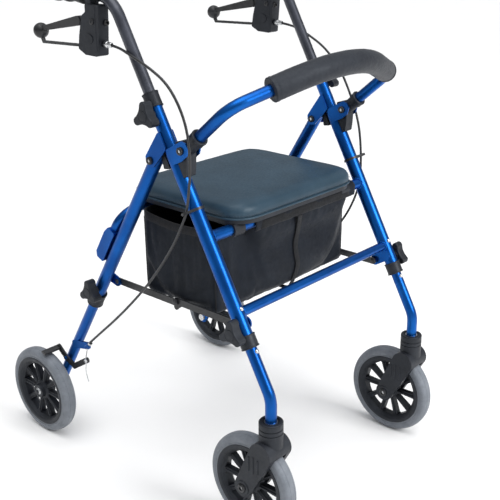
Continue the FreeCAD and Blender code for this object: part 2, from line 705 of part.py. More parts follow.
def push_handle(tag, side):
    x = side * SIDE_X
    top = size("handle_height")
    corner_along = (top - BEND_Z) / math.cos(LEAN)
    turn = 90 - math.degrees(LEAN)
    setback = size("handle_bend_radius") * math.tan(math.radians(turn) / 2)
    corner_y = front(corner_along)[0]
    foot = size("handle_insert_foot")
    straight = corner_along - setback - foot
    level = size("grip_end") - 4 - corner_y - setback
    tube = bent_tube(f"handle_bend_{tag}", [str(straight), str(level)],
                     [("Sizes.handle_bend_radius", "90 - Sizes.front_lean")],
                     "Sizes.inner_tube_radius", "Sizes.inner_bore_radius", front_place(x, foot))
    node(f"handle_tube_{tag}", tube)

    start, end = size("grip_start"), size("grip_end")
    long = end - start
    profile = [(0, 11.1), (0, 19.5), (5, 19.5), (10, 16.8), (long * 0.3, 18.2),
               (long * 0.62, 16.2), (long - 16, 18.4), (long - 5, 18), (long, 13), (long, 0),
               (long - 3.5, 0), (long - 3.5, 11.1)]
    facing = FreeCAD.Placement(V(x, start, top), FreeCAD.Rotation(Z_AXIS, 90))
    node(f"grip_{tag}", turned_part(f"grip_body_{tag}", profile, facing))


def brake_housing(tag, side):
    """The brake lever's housing, clamped under the level part of the handle tube."""
    x = side * size("housing_x")
    top = size("handle_height")
    half = size("housing_half_width")
    outline = [(59, 868), (65, 865.5), (97, 866.5), (116, 876), (112, 900), (106, 922),
               (100, 938), (90, 944),
               (90, 958), (52, 958), (54, 922)]
    block = plate(f"housing_block_{tag}", side, size("housing_x") - half,
                  "2 * Sizes.housing_half_width", outline)
    along_y = FreeCAD.Rotation(Z_AXIS, V(0, 1, 0))
    neck = box(f"housing_neck_{tag}", "20", "14", "26", at(x - 10, 76, 940))
    ring = cylinder(f"housing_ring_{tag}", "15", "16",
                    FreeCAD.Placement(V(side * SIDE_X, 75, top), along_y))
    solid = fuse(f"housing_solid_{tag}", [block, neck, ring])
    bore = cylinder(f"housing_bore_{tag}", "Sizes.inner_tube_radius + 0.05", "60",
                    FreeCAD.Placement(V(side * SIDE_X, 40, top), along_y))
    pivot = (size("lever_pivot_y"), size("lever_pivot_height"))
    slot = plate(f"housing_slot_{tag}", side, size("housing_x") - 4.6, "9.2",
                 [(70, 914), (125, 905), (135, 952), (70, 942)])
    pivot_well = cylinder(f"housing_well_{tag}", "10.5", "9.2",
                          outward(side, size("housing_x") - 4.6, pivot))
    drill = cylinder(f"housing_drill_{tag}", "4", "50",
                     outward(side, size("housing_x") - 25, pivot))
    shell = cut(f"housing_shell_{tag}", solid, [bore, slot, pivot_well, drill])
    pin = cylinder(f"housing_pin_{tag}", "3.9", "2 * Sizes.housing_half_width + 4",
                   outward(side, size("housing_x") - half - 2, pivot))
    exit_x, _, exit_z = UPPER_ROUTES[tag][0]
    forward = FreeCAD.Rotation(Z_AXIS, V(0, -1, 0))
    boss = cylinder(f"housing_boss_{tag}", "5.5", "7",
                    FreeCAD.Placement(V(side * exit_x, 59, exit_z), forward))
    ferrule = cylinder(f"housing_ferrule_{tag}", "3.2", "12",
                       FreeCAD.Placement(V(side * exit_x, 54, exit_z), forward))
    body = fuse(f"housing_body_{tag}", [shell, pin, boss, ferrule])
    node(f"brake_housing_{tag}", body)


def brake_lever(tag, side):
    """The loop lever: tongue, tapering arm, end ball and the lower rod."""
    x = size("housing_x")
    pivot = (size("lever_pivot_y"), size("lever_pivot_height"))
    root, tip = (124, 925.5), (236, 903)
    tongue = link(f"lever_tongue_{tag}", side, x - 4, "8", [(pivot, "8"), (root, "8.5")])
    arm = link(f"lever_arm_{tag}", side, x - 6, "12", [(root, "9"), (tip, "4.5")])
    ball = DOC.addObject("Part::Sphere", f"lever_ball_{tag}")
    ball.setExpression("Radius", "Sizes.ball_radius")
    ball.Placement = at(side * x, 246, 898)
    rod = link(f"lever_rod_{tag}", side, x - 2.6, "5.2", [((120, 880.5), "2.6"), ((239, 877), "2.6")])
    hook = link(f"lever_hook_{tag}", side, x - 2.6, "5.2",
                [((239, 877), "2.6"), ((244, 889), "4")])
    solid = fuse(f"lever_solid_{tag}", [tongue, arm, ball, rod, hook])
    drill = cylinder(f"lever_drill_{tag}", "4", "20", outward(side, x - 10, pivot))
    node(f"brake_lever_{tag}", cut(f"lever_{tag}", solid, [drill]))


# ---------------------------------------------------------------- clamp knobs

def knob(name, side, point, tube_radius):
    """A three-lobed clamp knob outside a tube, its screw through the tube's outer wall."""
    lobe, offset = size("lobe_radius"), size("lobe_offset")
    hollow_reach = offset * 2.4
    apart = math.sqrt(offset ** 2 + hollow_reach ** 2 - offset * hollow_reach)
    hollow = apart - lobe
    body = DOC.addObject("PartDesign::Body", f"{name}_head")
    flat = sketch(body, f"{name}_outline", "YZ_Plane")
    third = 2 * math.pi / 3
    for number in range(3):
        turn = math.pi / 2 + number * third
        lobe_at = V(math.cos(turn), math.sin(turn), 0) * offset
        touch = []
        for way in (-1, 1):
            angle = turn + way * third / 2
            hollow_at = V(math.cos(angle), math.sin(angle), 0) * hollow_reach
            touch.append(lobe_at + (hollow_at - lobe_at) * (lobe / apart))
        tip = V(math.cos(turn), math.sin(turn), 0) * (offset + lobe)
        flat.addGeometry(Part.Arc(touch[0], tip, touch[1]))
        angle = turn + third / 2
        waist = V(math.cos(angle), math.sin(angle), 0) * (hollow_reach - hollow)
        next_lobe = V(math.cos(turn + third), math.sin(turn + third), 0) * offset
        hollow_at = V(math.cos(angle), math.sin(angle), 0) * hollow_reach
        next_touch = next_lobe + (hollow_at - next_lobe) * (lobe / apart)
        flat.addGeometry(Part.Arc(touch[1], waist, next_touch))
    head = pad(body, flat, f"{name}_pad", "Sizes.knob_thickness")
    round_edges(body, head, f"{name}_rounding", "2.5", lambda edge: edge.BoundBox.XLength < 1e-6)
    stand = SIDE_X + size("knob_stand")
    body.Placement = at(side * stand - (size("knob_thickness") if side < 0 else 0), *point)
    neck_start = SIDE_X + tube_radius + 0.4
    neck = cylinder(f"{name}_neck", "9", str(stand - neck_start + 1),
                    outward(side, neck_start, point))
    tip_start = SIDE_X + size("tube_bore_radius")
    screw = cylinder(f"{name}_screw", "Sizes.screw_radius", str(stand - tip_start),
                     outward(side, tip_start, point))
    node(name, fuse(f"{name}_solid", [body, neck, screw]))


# ---------------------------------------------------------------- legs, casters and wheels

def front_extension(tag, side):
    """The lower front leg: a tube that slides in the upright and bends down to the caster."""
    x = side * SIDE_X
    setback = size("front_bend_radius") * math.tan(LEAN / 2)
    top = size("front_insert_top")
    y, z = front(top)
    facing = FreeCAD.Rotation(X_AXIS, 180 - math.degrees(LEAN))
    tube = bent_tube(f"stem_bend_{tag}",
                     [str(top - setback), str(BEND_Z - setback - size("stem_bottom"))],
                     [("Sizes.front_bend_radius", "0 - Sizes.front_lean")],
                     "Sizes.inner_tube_radius", "Sizes.inner_bore_radius",
                     FreeCAD.Placement(V(x, y, z), facing))
    node(f"front_extension_{tag}", tube)


def caster_fork(tag, side):
    """The swivelling fork: a ringed head over a crown and two arms."""
    inner = SIDE_X - size("fork_half_width")
    crown, axle = (-342, 187), (-AXLE_Y, AXLE_Z)
    arms = link(f"fork_arms_{tag}", side, inner, "2 * Sizes.fork_half_width",
                [(crown, "25"), (axle, "20")])
    head = cylinder(f"fork_head_{tag}", "Sizes.fork_head_radius",
                    "Sizes.fork_head_top - Sizes.fork_head_bottom + 8",
                    at(side * SIDE_X, STEM_Y, size("fork_head_bottom") - 8))
    solid = fuse(f"fork_solid_{tag}", [arms, head])
    gap = cylinder(f"fork_gap_{tag}", "Sizes.fork_wheel_clearance", "2 * Sizes.fork_gap_half",
                   outward(side, SIDE_X - size("fork_gap_half"), axle))
    bore = cylinder(f"fork_bore_{tag}", "Sizes.inner_tube_radius + 0.06", "60",
                    at(side * SIDE_X, STEM_Y, size("stem_bottom") - 0.5))
    drill = cylinder(f"fork_drill_{tag}", "Sizes.axle_radius", "80",
                     outward(side, SIDE_X - 40, axle))
    tools = [gap, bore, drill]
    for number, height in enumerate((226, 235)):
        ring = cylinder(f"fork_ring_{tag}_{number}", "Sizes.fork_head_radius + 2", "1.8",
                        at(side * SIDE_X, STEM_Y, height))
        core = cylinder(f"fork_core_{tag}_{number}", "Sizes.fork_head_radius - 1.2", "1.8",
                        at(side * SIDE_X, STEM_Y, height))
        tools.append(cut(f"fork_groove_{tag}_{number}", ring, [core]))
    node(f"caster_fork_{tag}", cut(f"fork_{tag}", solid, tools))


def caster_hardware(tag, side):
    """The caster's axle bolt with its two heads, and the washer under the stem."""
    half = size("fork_half_width")
    axle = (-AXLE_Y, AXLE_Z)
    pieces = [cylinder(f"caster_axle_{tag}", "Sizes.axle_radius", "2 * Sizes.fork_half_width",
                       outward(side, SIDE_X - half, axle))]
    for end, direction in (("out", 1), ("in", -1)):
        start = FreeCAD.Placement(V(side * (SIDE_X + direction * half), *axle),
                                  FreeCAD.Rotation(Z_AXIS, V(side * direction, 0, 0)))
        pieces.append(cone(f"caster_head_{tag}_{end}", "8.5", "6.5", "2.5", start))
    bolt_body = fuse(f"caster_bolt_{tag}", pieces)
    washer = pipe(f"stem_washer_{tag}", "12.8", "Sizes.inner_tube_radius + 0.06", "1.5",
                  at(side * SIDE_X, STEM_Y, size("fork_head_top")))
    node(f"caster_hardware_{tag}", group(f"caster_hardware_group_{tag}", [bolt_body, washer]))


def wheel(end, tag, placement):
    """A ten-window hub and its grey tyre, centred on the placement, axle along X."""
    web, rim = size("web_half"), size("tyre_inner_radius")
    boss, long = size("boss_radius"), size("boss_half_length")
    axle = size("axle_radius") + 0.05
    half_profile = [(long, axle), (long, boss - 1.5), (web + 4, boss), (web, boss + 6),
                    (web, rim - 13), (13, rim - 7), (14.5, rim)]
    profile = half_profile + [(-x, radius) for x, radius in reversed(half_profile)]
    name = f"{end}_hub_{tag}"
    body = turned_part(f"{name}_body", profile, FreeCAD.Placement())
    flat = sketch(body, f"{name}_window", "YZ_Plane")
    outer, inner = rim - 10, boss + 6
    spread, pinch = math.radians(13.2), math.radians(8)
    corners = [(radius * math.sin(angle), radius * math.cos(angle))
               for radius, angle in ((inner, -pinch), (outer, -spread), (outer, spread),
                                     (inner, pinch))]
    add_outline(flat, corners)
    opening = body.newObject("PartDesign::Pocket", f"{name}_pocket")
    opening.Profile = flat
    opening.Midplane = True
    opening.setExpression("Length", "4 * Sizes.web_half")
    repeat = body.newObject("PartDesign::PolarPattern", f"{name}_pattern")
    repeat.Originals = [opening]
    repeat.Axis = (plane(body, "X_Axis"), [""])
    repeat.Angle = 360
    repeat.setExpression("Occurrences", "Sizes.spoke_windows")
    body.Tip = repeat
    body.Placement = placement
    node(name, body)

    half, radius = size("tyre_half_width"), size("wheel_radius")
    tread = [(-14.5, rim), (-half, rim + 5), (-half, radius - 10), (-half + 3.5, radius - 3.2),
             (-6, radius - 0.6), (0, radius), (6, radius - 0.6), (half - 3.5, radius - 3.2),
             (half, radius - 10), (half, rim + 5), (14.5, rim)]
    node(f"{end}_tyre_{tag}", turned_part(f"{end}_tyre_body_{tag}", tread, placement))


def rear_leg(tag, side):
    """A rear leg's outer tube with its pivot hole, brace tab and stud."""
    x = side * SIDE_X
    foot, top = size("rear_tube_foot"), size("rear_tube_top")
    tube = cylinder(f"rear_tube_{tag}", "Sizes.rear_tube_radius",
                    "Sizes.rear_tube_top - Sizes.rear_tube_foot", rear_place(x, foot))
    leaf = brace_tab(f"rear_tab_{tag}", side, BRACE_REAR, rear(365))
    stud = brace_stud(f"rear_stud_{tag}", side, BRACE_REAR, 5.5)
    solid = fuse(f"rear_solid_{tag}", [tube, leaf, stud])
    bore = cylinder(f"rear_bore_{tag}", "Sizes.tube_bore_radius", str(top - foot),
                    rear_place(x, foot))
    pivot = cylinder(f"rear_pivot_{tag}", "Sizes.bolt_radius + 0.1", "40",
                     outward(side, SIDE_X - 20, HINGE))
    screw = cylinder(f"rear_screw_{tag}", "Sizes.screw_radius + 0.1", "20",
                     outward(side, SIDE_X, rear(size("rear_knob_along"))))
    node(f"rear_leg_{tag}", cut(f"rear_leg_cut_{tag}", solid, [bore, pivot, screw]))


def rear_seat_bar():
    """The U tube behind the rear legs that the seat's back edge rests on."""
    foot = 412
    bend = size("seat_bar_bend_radius")
    rise = size("seat_bar_along") - bend - foot
    across = 2 * SIDE_X - 2 * bend
    start = rear_place(-SIDE_X, foot, size("seat_bar_behind"))
    quarter = FreeCAD.Placement(V(), FreeCAD.Rotation(Z_AXIS, -90))
    bar = bent_tube("seat_bar_tube", [str(rise), str(across), str(rise)],
                    [("Sizes.seat_bar_bend_radius", "90"), ("Sizes.seat_bar_bend_radius", "90")],
                    "Sizes.cross_tube_radius", "Sizes.cross_bore_radius",
                    start.multiply(quarter))
    node("rear_seat_bar", bar)


def rear_bar_brackets():
    """The channels that hold the seat bar's ends against the rear legs."""
    pieces = []
    behind = size("seat_bar_behind")
    for tag, side in SIDES.items():
        outline = [rear(406, 13.1), rear(486, 13.1), rear(486, behind + 8),
                   rear(470, behind + 13), rear(414, behind + 13), rear(404, behind + 6)]
        block = plate(f"bracket_block_{tag}", side, SIDE_X - 13, "26", outline)
        bore = cylinder(f"bracket_bore_{tag}", "Sizes.cross_tube_radius", "90",
                        rear_place(side * SIDE_X, 412, behind))
        pieces.append(cut(f"bracket_{tag}", block, [bore]))
    node("rear_bar_brackets", group("bracket_group", pieces))


def rear_collars():
    foot = size("rear_tube_foot")
    pieces = [collar(f"rear_collar_{tag}", "Sizes.collar_radius", "30",
                     "Sizes.rear_tube_radius", rear_place(side * SIDE_X, foot - 10),
                     rear_place(side * SIDE_X, foot)) for tag, side in SIDES.items()]
    node("rear_collars", group("rear_collar_group", pieces))


def rear_extension(tag, side):
    """The lower rear leg: a sliding tube with the axle hole, brake pivot and cable anchor."""
    x = side * SIDE_X
    foot, top = size("rear_insert_foot"), size("rear_insert_top")
    tube = cylinder(f"foot_tube_{tag}", "Sizes.inner_tube_radius", str(top - foot),
                    rear_place(x, foot))
    anchor = (size("anchor_y"), size("anchor_height"))
    leaf = link(f"anchor_leaf_{tag}", side, 244, "4", [(anchor, "8"), (rear(150, -2), "9")])
    barrel = cylinder(f"anchor_barrel_{tag}", "4.5", "16",
                      FreeCAD.Placement(V(side * 246, anchor[0] + 5.6, anchor[1] - 5.2),
                                        FreeCAD.Rotation(Z_AXIS, V(0, -27, 23))))
    solid = fuse(f"foot_solid_{tag}", [tube, leaf, barrel])
    tools = [cylinder(f"foot_bore_{tag}", "Sizes.inner_bore_radius", str(top - foot - 3),
                      rear_place(x, foot + 3)),
             cylinder(f"foot_axle_{tag}", "Sizes.axle_radius", "40",
                      outward(side, SIDE_X - 20, (AXLE_Y, AXLE_Z)))]
    brake_pin = cylinder(f"brake_pin_{tag}", "4", "11",
                         outward(side, SIDE_X + 9.5, (size("brake_pivot_y"),
                                                      size("brake_pivot_height"))))
    seat_hole = cylinder(f"cable_seat_{tag}", "Sizes.cable_radius + 0.4", "26",
                         FreeCAD.Placement(V(side * 246, *anchor).add(V(0, -3, 5)),
                                           FreeCAD.Rotation(Z_AXIS, V(0, -27, 23))))
    body = cut(f"foot_{tag}", solid, tools + [seat_hole])
    node(f"rear_extension_{tag}", fuse(f"foot_whole_{tag}", [body, brake_pin]))


def rear_axle(tag, side):
    """The rear axle bolt: through the leg, a spacer and the hub, with a head at each end."""
    axle = (AXLE_Y, AXLE_Z)
    hub_out = size("rear_wheel_x") + size("boss_half_length")
    hub_in = size("rear_wheel_x") - size("boss_half_length")
    leg_out = SIDE_X + size("inner_tube_radius")
    inner_end = SIDE_X - size("inner_tube_radius")
    pieces = [cylinder(f"rear_bolt_{tag}", "Sizes.axle_radius", str(hub_out - inner_end + 1),
                       outward(side, inner_end - 1, axle)),
              cylinder(f"rear_spacer_{tag}", "9", str(hub_in - leg_out - 0.4),
                       outward(side, leg_out, axle)),
              cylinder(f"rear_nut_{tag}", "9", "5", outward(side, inner_end - 5, axle)),
              cone(f"rear_cap_{tag}", "8.5", "6", "3", outward(side, hub_out + 0.2, axle))]
    node(f"rear_axle_{tag}", fuse(f"rear_axle_solid_{tag}", pieces))


def brake_arm(tag, side):
    """The brake arm: a bent flat lever whose bar lies across the top of the rear tyre."""
    pivot = (size("brake_pivot_y"), size("brake_pivot_height"))
    angle = math.radians(size("brake_bar_angle"))
    reach = size("brake_bar_radius")
    bar = (AXLE_Y - reach * math.sin(angle), AXLE_Z + reach * math.cos(angle))
    points = [bar, pivot, (219, 173), (172, 203)]
    inner = 250.6
    pieces = [link(f"arm_{tag}_{number}", side, inner, "4", [(a, "6.5"), (b, "6.5")])
              for number, (a, b) in enumerate(zip(points, points[1:]))]
    long = size("rear_wheel_x") + size("tyre_half_width") - 2 - inner
    shoe = box(f"arm_shoe_{tag}", str(long), "13", "4.5", FreeCAD.Placement())
    shift = V(0, -6.5, -2.25)
    tilt = FreeCAD.Rotation(X_AXIS, size("brake_bar_angle"))
    base = V(inner if side > 0 else -inner - long, *bar)
    shoe.Placement = FreeCAD.Placement(base + tilt.multVec(shift), tilt)
    solid = fuse(f"arm_solid_{tag}", pieces + [shoe])
    drill = cylinder(f"arm_drill_{tag}", "4.1", "20", outward(side, inner - 5, pivot))
    eye = cylinder(f"arm_eye_{tag}", "2", "20", outward(side, inner - 5, points[-1]))
    node(f"brake_arm_{tag}", cut(f"arm_{tag}", solid, [drill, eye]))


# ---------------------------------------------------------------- folding braces

def front_links():
    """The front brace links and the bar across that joins the two sides."""
    pieces = []
    inner = 214
    for tag, side in SIDES.items():
        strip = link(f"front_link_{tag}", side, inner, "Sizes.brace_thickness",
                     [(BRACE_FRONT, "Sizes.brace_width / 2"),
                      (BRACE_MIDDLE, "Sizes.brace_width / 2")])
        drop = (BRACE_MIDDLE[0], BRACE_MIDDLE[1] - size("link_bar_drop"))
        lug = link(f"front_lug_{tag}", side, inner, "Sizes.brace_thickness",
                   [(BRACE_MIDDLE, "Sizes.brace_width / 2"), (drop, "6")])
        blank = fuse(f"front_link_blank_{tag}", [strip, lug])
        eye = cylinder(f"front_eye_{tag}", "Sizes.rivet_radius", "20",
                       outward(side, inner - 8, BRACE_FRONT))
        pieces.append(cut(f"front_link_cut_{tag}", blank, [eye]))
    start = FreeCAD.Placement(V(-inner, *drop), FreeCAD.Rotation(Z_AXIS, X_AXIS))
    pieces.append(cylinder("link_bar", "Sizes.link_bar_radius", str(2 * inner), start))
    node("front_links", group("front_link_group", pieces))


def rear_links():
    pieces = []
    inner = 218.5
    for tag, side in SIDES.items():
        strip = link(f"rear_link_{tag}", side, inner, "Sizes.brace_thickness",
                     [(BRACE_REAR, "Sizes.brace_width / 2"),
                      (BRACE_MIDDLE, "Sizes.brace_width / 2")])
        eye = cylinder(f"rear_eye_{tag}", "Sizes.rivet_radius", "20",
                       outward(side, inner - 8, BRACE_REAR))
        pieces.append(cut(f"rear_link_cut_{tag}", strip, [eye]))
    node("rear_links", group("rear_link_group", pieces))


# ---------------------------------------------------------------- the whole walker

def build():
    cross_tube("upper_cross_tube", "Sizes.seat_tube_radius", "Sizes.inner_bore_radius",
               size("seat_hinge_along"))
    cross_tube("lower_cross_tube", "Sizes.cross_tube_radius", "Sizes.cross_bore_radius",
               size("low_cross_along"))
    gusset = [front(519, -3), front(519, 3), front(494, 55), front(486, 59), front(472, 58),
              front(468, 46), front(479, 14), front(486, -3)]
    side_plates("rear_hinge_brackets", gusset, HINGE)
    ear = [front(485, -2), front(485, -48), front(478, -56), front(467, -57), front(456, -46),
           front(453, -30), front(455, -2)]
    side_plates("backrest_ears", ear, BACKREST_PIVOT)
    frame_collars()
    half = size("plate_gap") + size("plate_thickness")
    bolts = []
    for tag, side in SIDES.items():
        bolts.append(bolt(f"hinge_bolt_{tag}", side, HINGE, half))
        bolts.append(bolt(f"backrest_bolt_{tag}", side, BACKREST_PIVOT, half))
    node("frame_bolts", group("bolt_group", bolts))
    cable_ties()
    cables()
    storage_bag()
    pull_strap()
    backrest()
    backrest_elbows()
    seat()
    rear_seat_bar()
    rear_bar_brackets()
    rear_collars()
    front_links()
    rear_links()
    for tag, side in SIDES.items():
        upright(tag, side)
        push_handle(tag, side)
        brake_housing(tag, side)
        brake_lever(tag, side)
        knob(f"handle_knob_{tag}", side, front(size("handle_knob_along")), size("socket_radius"))
        front_extension(tag, side)
        caster_fork(tag, side)
        caster_hardware(tag, side)
        wheel("front", tag, at(side * SIDE_X, -AXLE_Y, AXLE_Z))
        knob(f"front_knob_{tag}", side, front(size("front_knob_along")),
             size("front_tube_radius"))
        rear_leg(tag, side)
        rear_extension(tag, side)
        rear_axle(tag, side)
        wheel("rear", tag, at(side * size("rear_wheel_x"), AXLE_Y, AXLE_Z))
        brake_arm(tag, side)
        knob(f"rear_knob_{tag}", side, rear(size("rear_knob_along")), size("rear_tube_radius"))


def check_and_export():
    DOC.recompute()
    for item in DOC.Objects:
        if "Invalid" in item.State or "Error" in item.State:
            raise SystemExit(f"{item.Name} did not build: {item.State}")
    for item in NODES:
        if item.Shape.isNull() or not item.Shape.isValid() or not item.Shape.Solids:
            raise SystemExit(f"{item.Label} has no valid solid")
    os.makedirs("parts", exist_ok=True)
    for item in NODES:
        item.Shape.exportStep(f"parts/{item.Label}.step")
    print(len(NODES), "sub-parts written")


build()
check_and_export()
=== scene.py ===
import math

import bmesh
import bpy
from mathutils import Matrix, Vector


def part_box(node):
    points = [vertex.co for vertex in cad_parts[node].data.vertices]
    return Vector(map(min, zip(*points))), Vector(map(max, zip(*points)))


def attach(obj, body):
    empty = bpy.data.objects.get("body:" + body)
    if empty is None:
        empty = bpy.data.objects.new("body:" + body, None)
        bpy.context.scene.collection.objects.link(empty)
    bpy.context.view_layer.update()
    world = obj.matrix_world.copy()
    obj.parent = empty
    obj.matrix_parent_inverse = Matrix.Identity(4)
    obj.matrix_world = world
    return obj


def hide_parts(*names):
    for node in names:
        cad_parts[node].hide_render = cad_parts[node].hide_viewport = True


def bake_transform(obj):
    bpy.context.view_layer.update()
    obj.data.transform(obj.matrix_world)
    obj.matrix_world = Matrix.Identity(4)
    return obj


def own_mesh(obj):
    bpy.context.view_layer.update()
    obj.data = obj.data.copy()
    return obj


# A folding rollator walker. Metres; +Z up, the user walks towards -Y, and +X is the user's left.

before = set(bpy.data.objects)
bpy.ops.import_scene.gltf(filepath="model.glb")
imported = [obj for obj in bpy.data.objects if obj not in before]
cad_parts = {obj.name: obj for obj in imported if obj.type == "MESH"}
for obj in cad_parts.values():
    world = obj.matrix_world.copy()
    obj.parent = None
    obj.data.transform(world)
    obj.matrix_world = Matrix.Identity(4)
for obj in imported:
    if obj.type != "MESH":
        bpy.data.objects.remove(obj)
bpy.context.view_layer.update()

SIDES = {"left": 1, "right": -1}
X_AXIS = Vector((1, 0, 0))
Y_AXIS = Vector((0, 1, 0))
Z_AXIS = Vector((0, 0, 1))

# ---- the frame's driving places

SIDE_X = 0.237
REAR_WHEEL_X = 0.282
AXLE_Y = 0.2985
AXLE_Z = 0.100
STEM_Y = -0.3435
CROWN_Z = 0.247
BEND_Z = 0.2935
FRONT_LEAN = math.radians(28.95)
HINGE = (-0.0675, 0.692)
REAR_LEAN = math.atan2(AXLE_Y - HINGE[0], HINGE[1] - AXLE_Z)
BACKREST_PIVOT = (-0.1485, 0.7230)
BACKREST_TILT = math.radians(39.9)
HANDLE_Z = 0.975
HOUSING_X = 0.242
HOUSING_HALF = 0.012
HOUSING_FRONT = 0.054
LEVER_PIVOT = (0.072, 0.928)
BRACE_FRONT = (-0.2485, 0.404)
BRACE_REAR = (0.0865, 0.404)
BRACE_MIDDLE = (-0.081, 0.404)
SEAT_TUBE_ALONG = 0.3123
LOW_TUBE_ALONG = 0.1657
PLATE_OUT = 0.0173
TAB_OUT = 0.2248
KNOB_OUT = 0.038
FRONT_ALONG = Vector((0, math.sin(FRONT_LEAN), math.cos(FRONT_LEAN)))
REAR_ALONG = Vector((0, -math.sin(REAR_LEAN), math.cos(REAR_LEAN)))


def front(x, along, behind=0.0):
    """A point on a front leg: along its axis from the bend, and behind that axis."""
    across = Vector((0, math.cos(FRONT_LEAN), -math.sin(FRONT_LEAN)))
    return Vector((x, STEM_Y, BEND_Z)) + FRONT_ALONG * along + across * behind


def rear(x, along, behind=0.0):
    """A point on a rear leg: along its axis from the axle, and behind that axis."""
    across = Vector((0, math.cos(REAR_LEAN), math.sin(REAR_LEAN)))
    return Vector((x, AXLE_Y, AXLE_Z)) + REAR_ALONG * along + across * behind


# ---- materials

class Nodes:
    """A material's node tree around its principled shader."""

    def __init__(self, name, **sockets):
        self.material = bpy.data.materials.new(name)
        self.material.use_nodes = True
        self.tree = self.material.node_tree
        self.shader = self.tree.nodes["Principled BSDF"]
        self.place = self.tree.nodes.new("ShaderNodeTexCoord").outputs["Object"]
        for socket, number in sockets.items():
            self.shader.inputs[socket.replace("_", " ")].default_value = number

    def add(self, kind, settings=(), **inputs):
        item = self.tree.nodes.new("ShaderNode" + kind)
        for word, choice in dict(settings).items():
            setattr(item, word, choice)
        for socket, source in inputs.items():
            self.join(source, item.inputs[socket.replace("_", " ")])
        return item

    def join(self, source, socket):
        if isinstance(source, bpy.types.NodeSocket):
            self.tree.links.new(source, socket)
        else:
            socket.default_value = source

    def noise(self, scale, detail=3.0, roughness=0.55):
        cloud = self.add("TexNoise", Vector=self.place, Scale=scale, Detail=detail,
                         Roughness=roughness)
        return cloud.outputs["Fac"]

    def colours(self, factor, first, second, low=0.35, high=0.65):
        """The base colour, from the first where the factor is low to the second."""
        ramp = self.add("ValToRGB", Fac=factor)
        ramp.color_ramp.elements[0].position = low
        ramp.color_ramp.elements[1].position = high
        ramp.color_ramp.elements[0].color = (*first, 1)
        ramp.color_ramp.elements[1].color = (*second, 1)
        self.join(ramp.outputs["Color"], self.shader.inputs["Base Color"])

    def spread(self, factor, socket, low, high):
        """Drives a shader socket from low to high over the middle of the factor."""
        span = self.add("MapRange", Value=factor)
        span.inputs["From Min"].default_value = 0.3
        span.inputs["From Max"].default_value = 0.7
        span.inputs["To Min"].default_value = low
        span.inputs["To Max"].default_value = high
        self.join(span.outputs["Result"], self.shader.inputs[socket])

    def bump(self, height, distance, strength=1.0, under=None):
        relief = self.add("Bump", Height=height, Distance=distance, Strength=strength)
        if under is not None:
            self.join(under, relief.inputs["Normal"])
        self.join(relief.outputs["Normal"], self.shader.inputs["Normal"])
        return relief.outputs["Normal"]

    def weave(self, period):
        """Threads that cross on every face that squares up with the axes."""
        total = None
        for direction in "XYZ":
            wave = self.add("TexWave", {"bands_direction": direction}, Vector=self.place,
                            Scale=math.pi / (10 * period), Distortion=0.0).outputs["Fac"]
            if total is None:
                total = wave
                continue
            adder = self.add("Math", {"operation": "ADD"})
            self.join(wave, adder.inputs[0])
            self.join(total, adder.inputs[1])
            total = adder.outputs[0]
        return total

    def cells(self, feature, scale):
        return self.add("TexVoronoi", {"feature": feature}, Vector=self.place,
                        Scale=scale).outputs["Distance"]


def finish(name, cloud, first, second, patches, rough, *reliefs, span=(0.35, 0.65), **sockets):
    """A shader whose colour drifts with a cloud and whose roughness changes in patches.
    Each relief is (kind, what it takes, depth, strength), and lies under the next."""
    m = Nodes(name, **sockets)
    m.colours(m.noise(*cloud), first, second, *span)
    m.spread(m.noise(patches), "Roughness", *rough)
    under = None
    for kind, numbers, depth, strength in reliefs:
        under = m.bump(getattr(m, kind)(*numbers), depth, strength, under)
    return m.material


COOL_GLOSS = (0.86, 0.92, 1, 1)

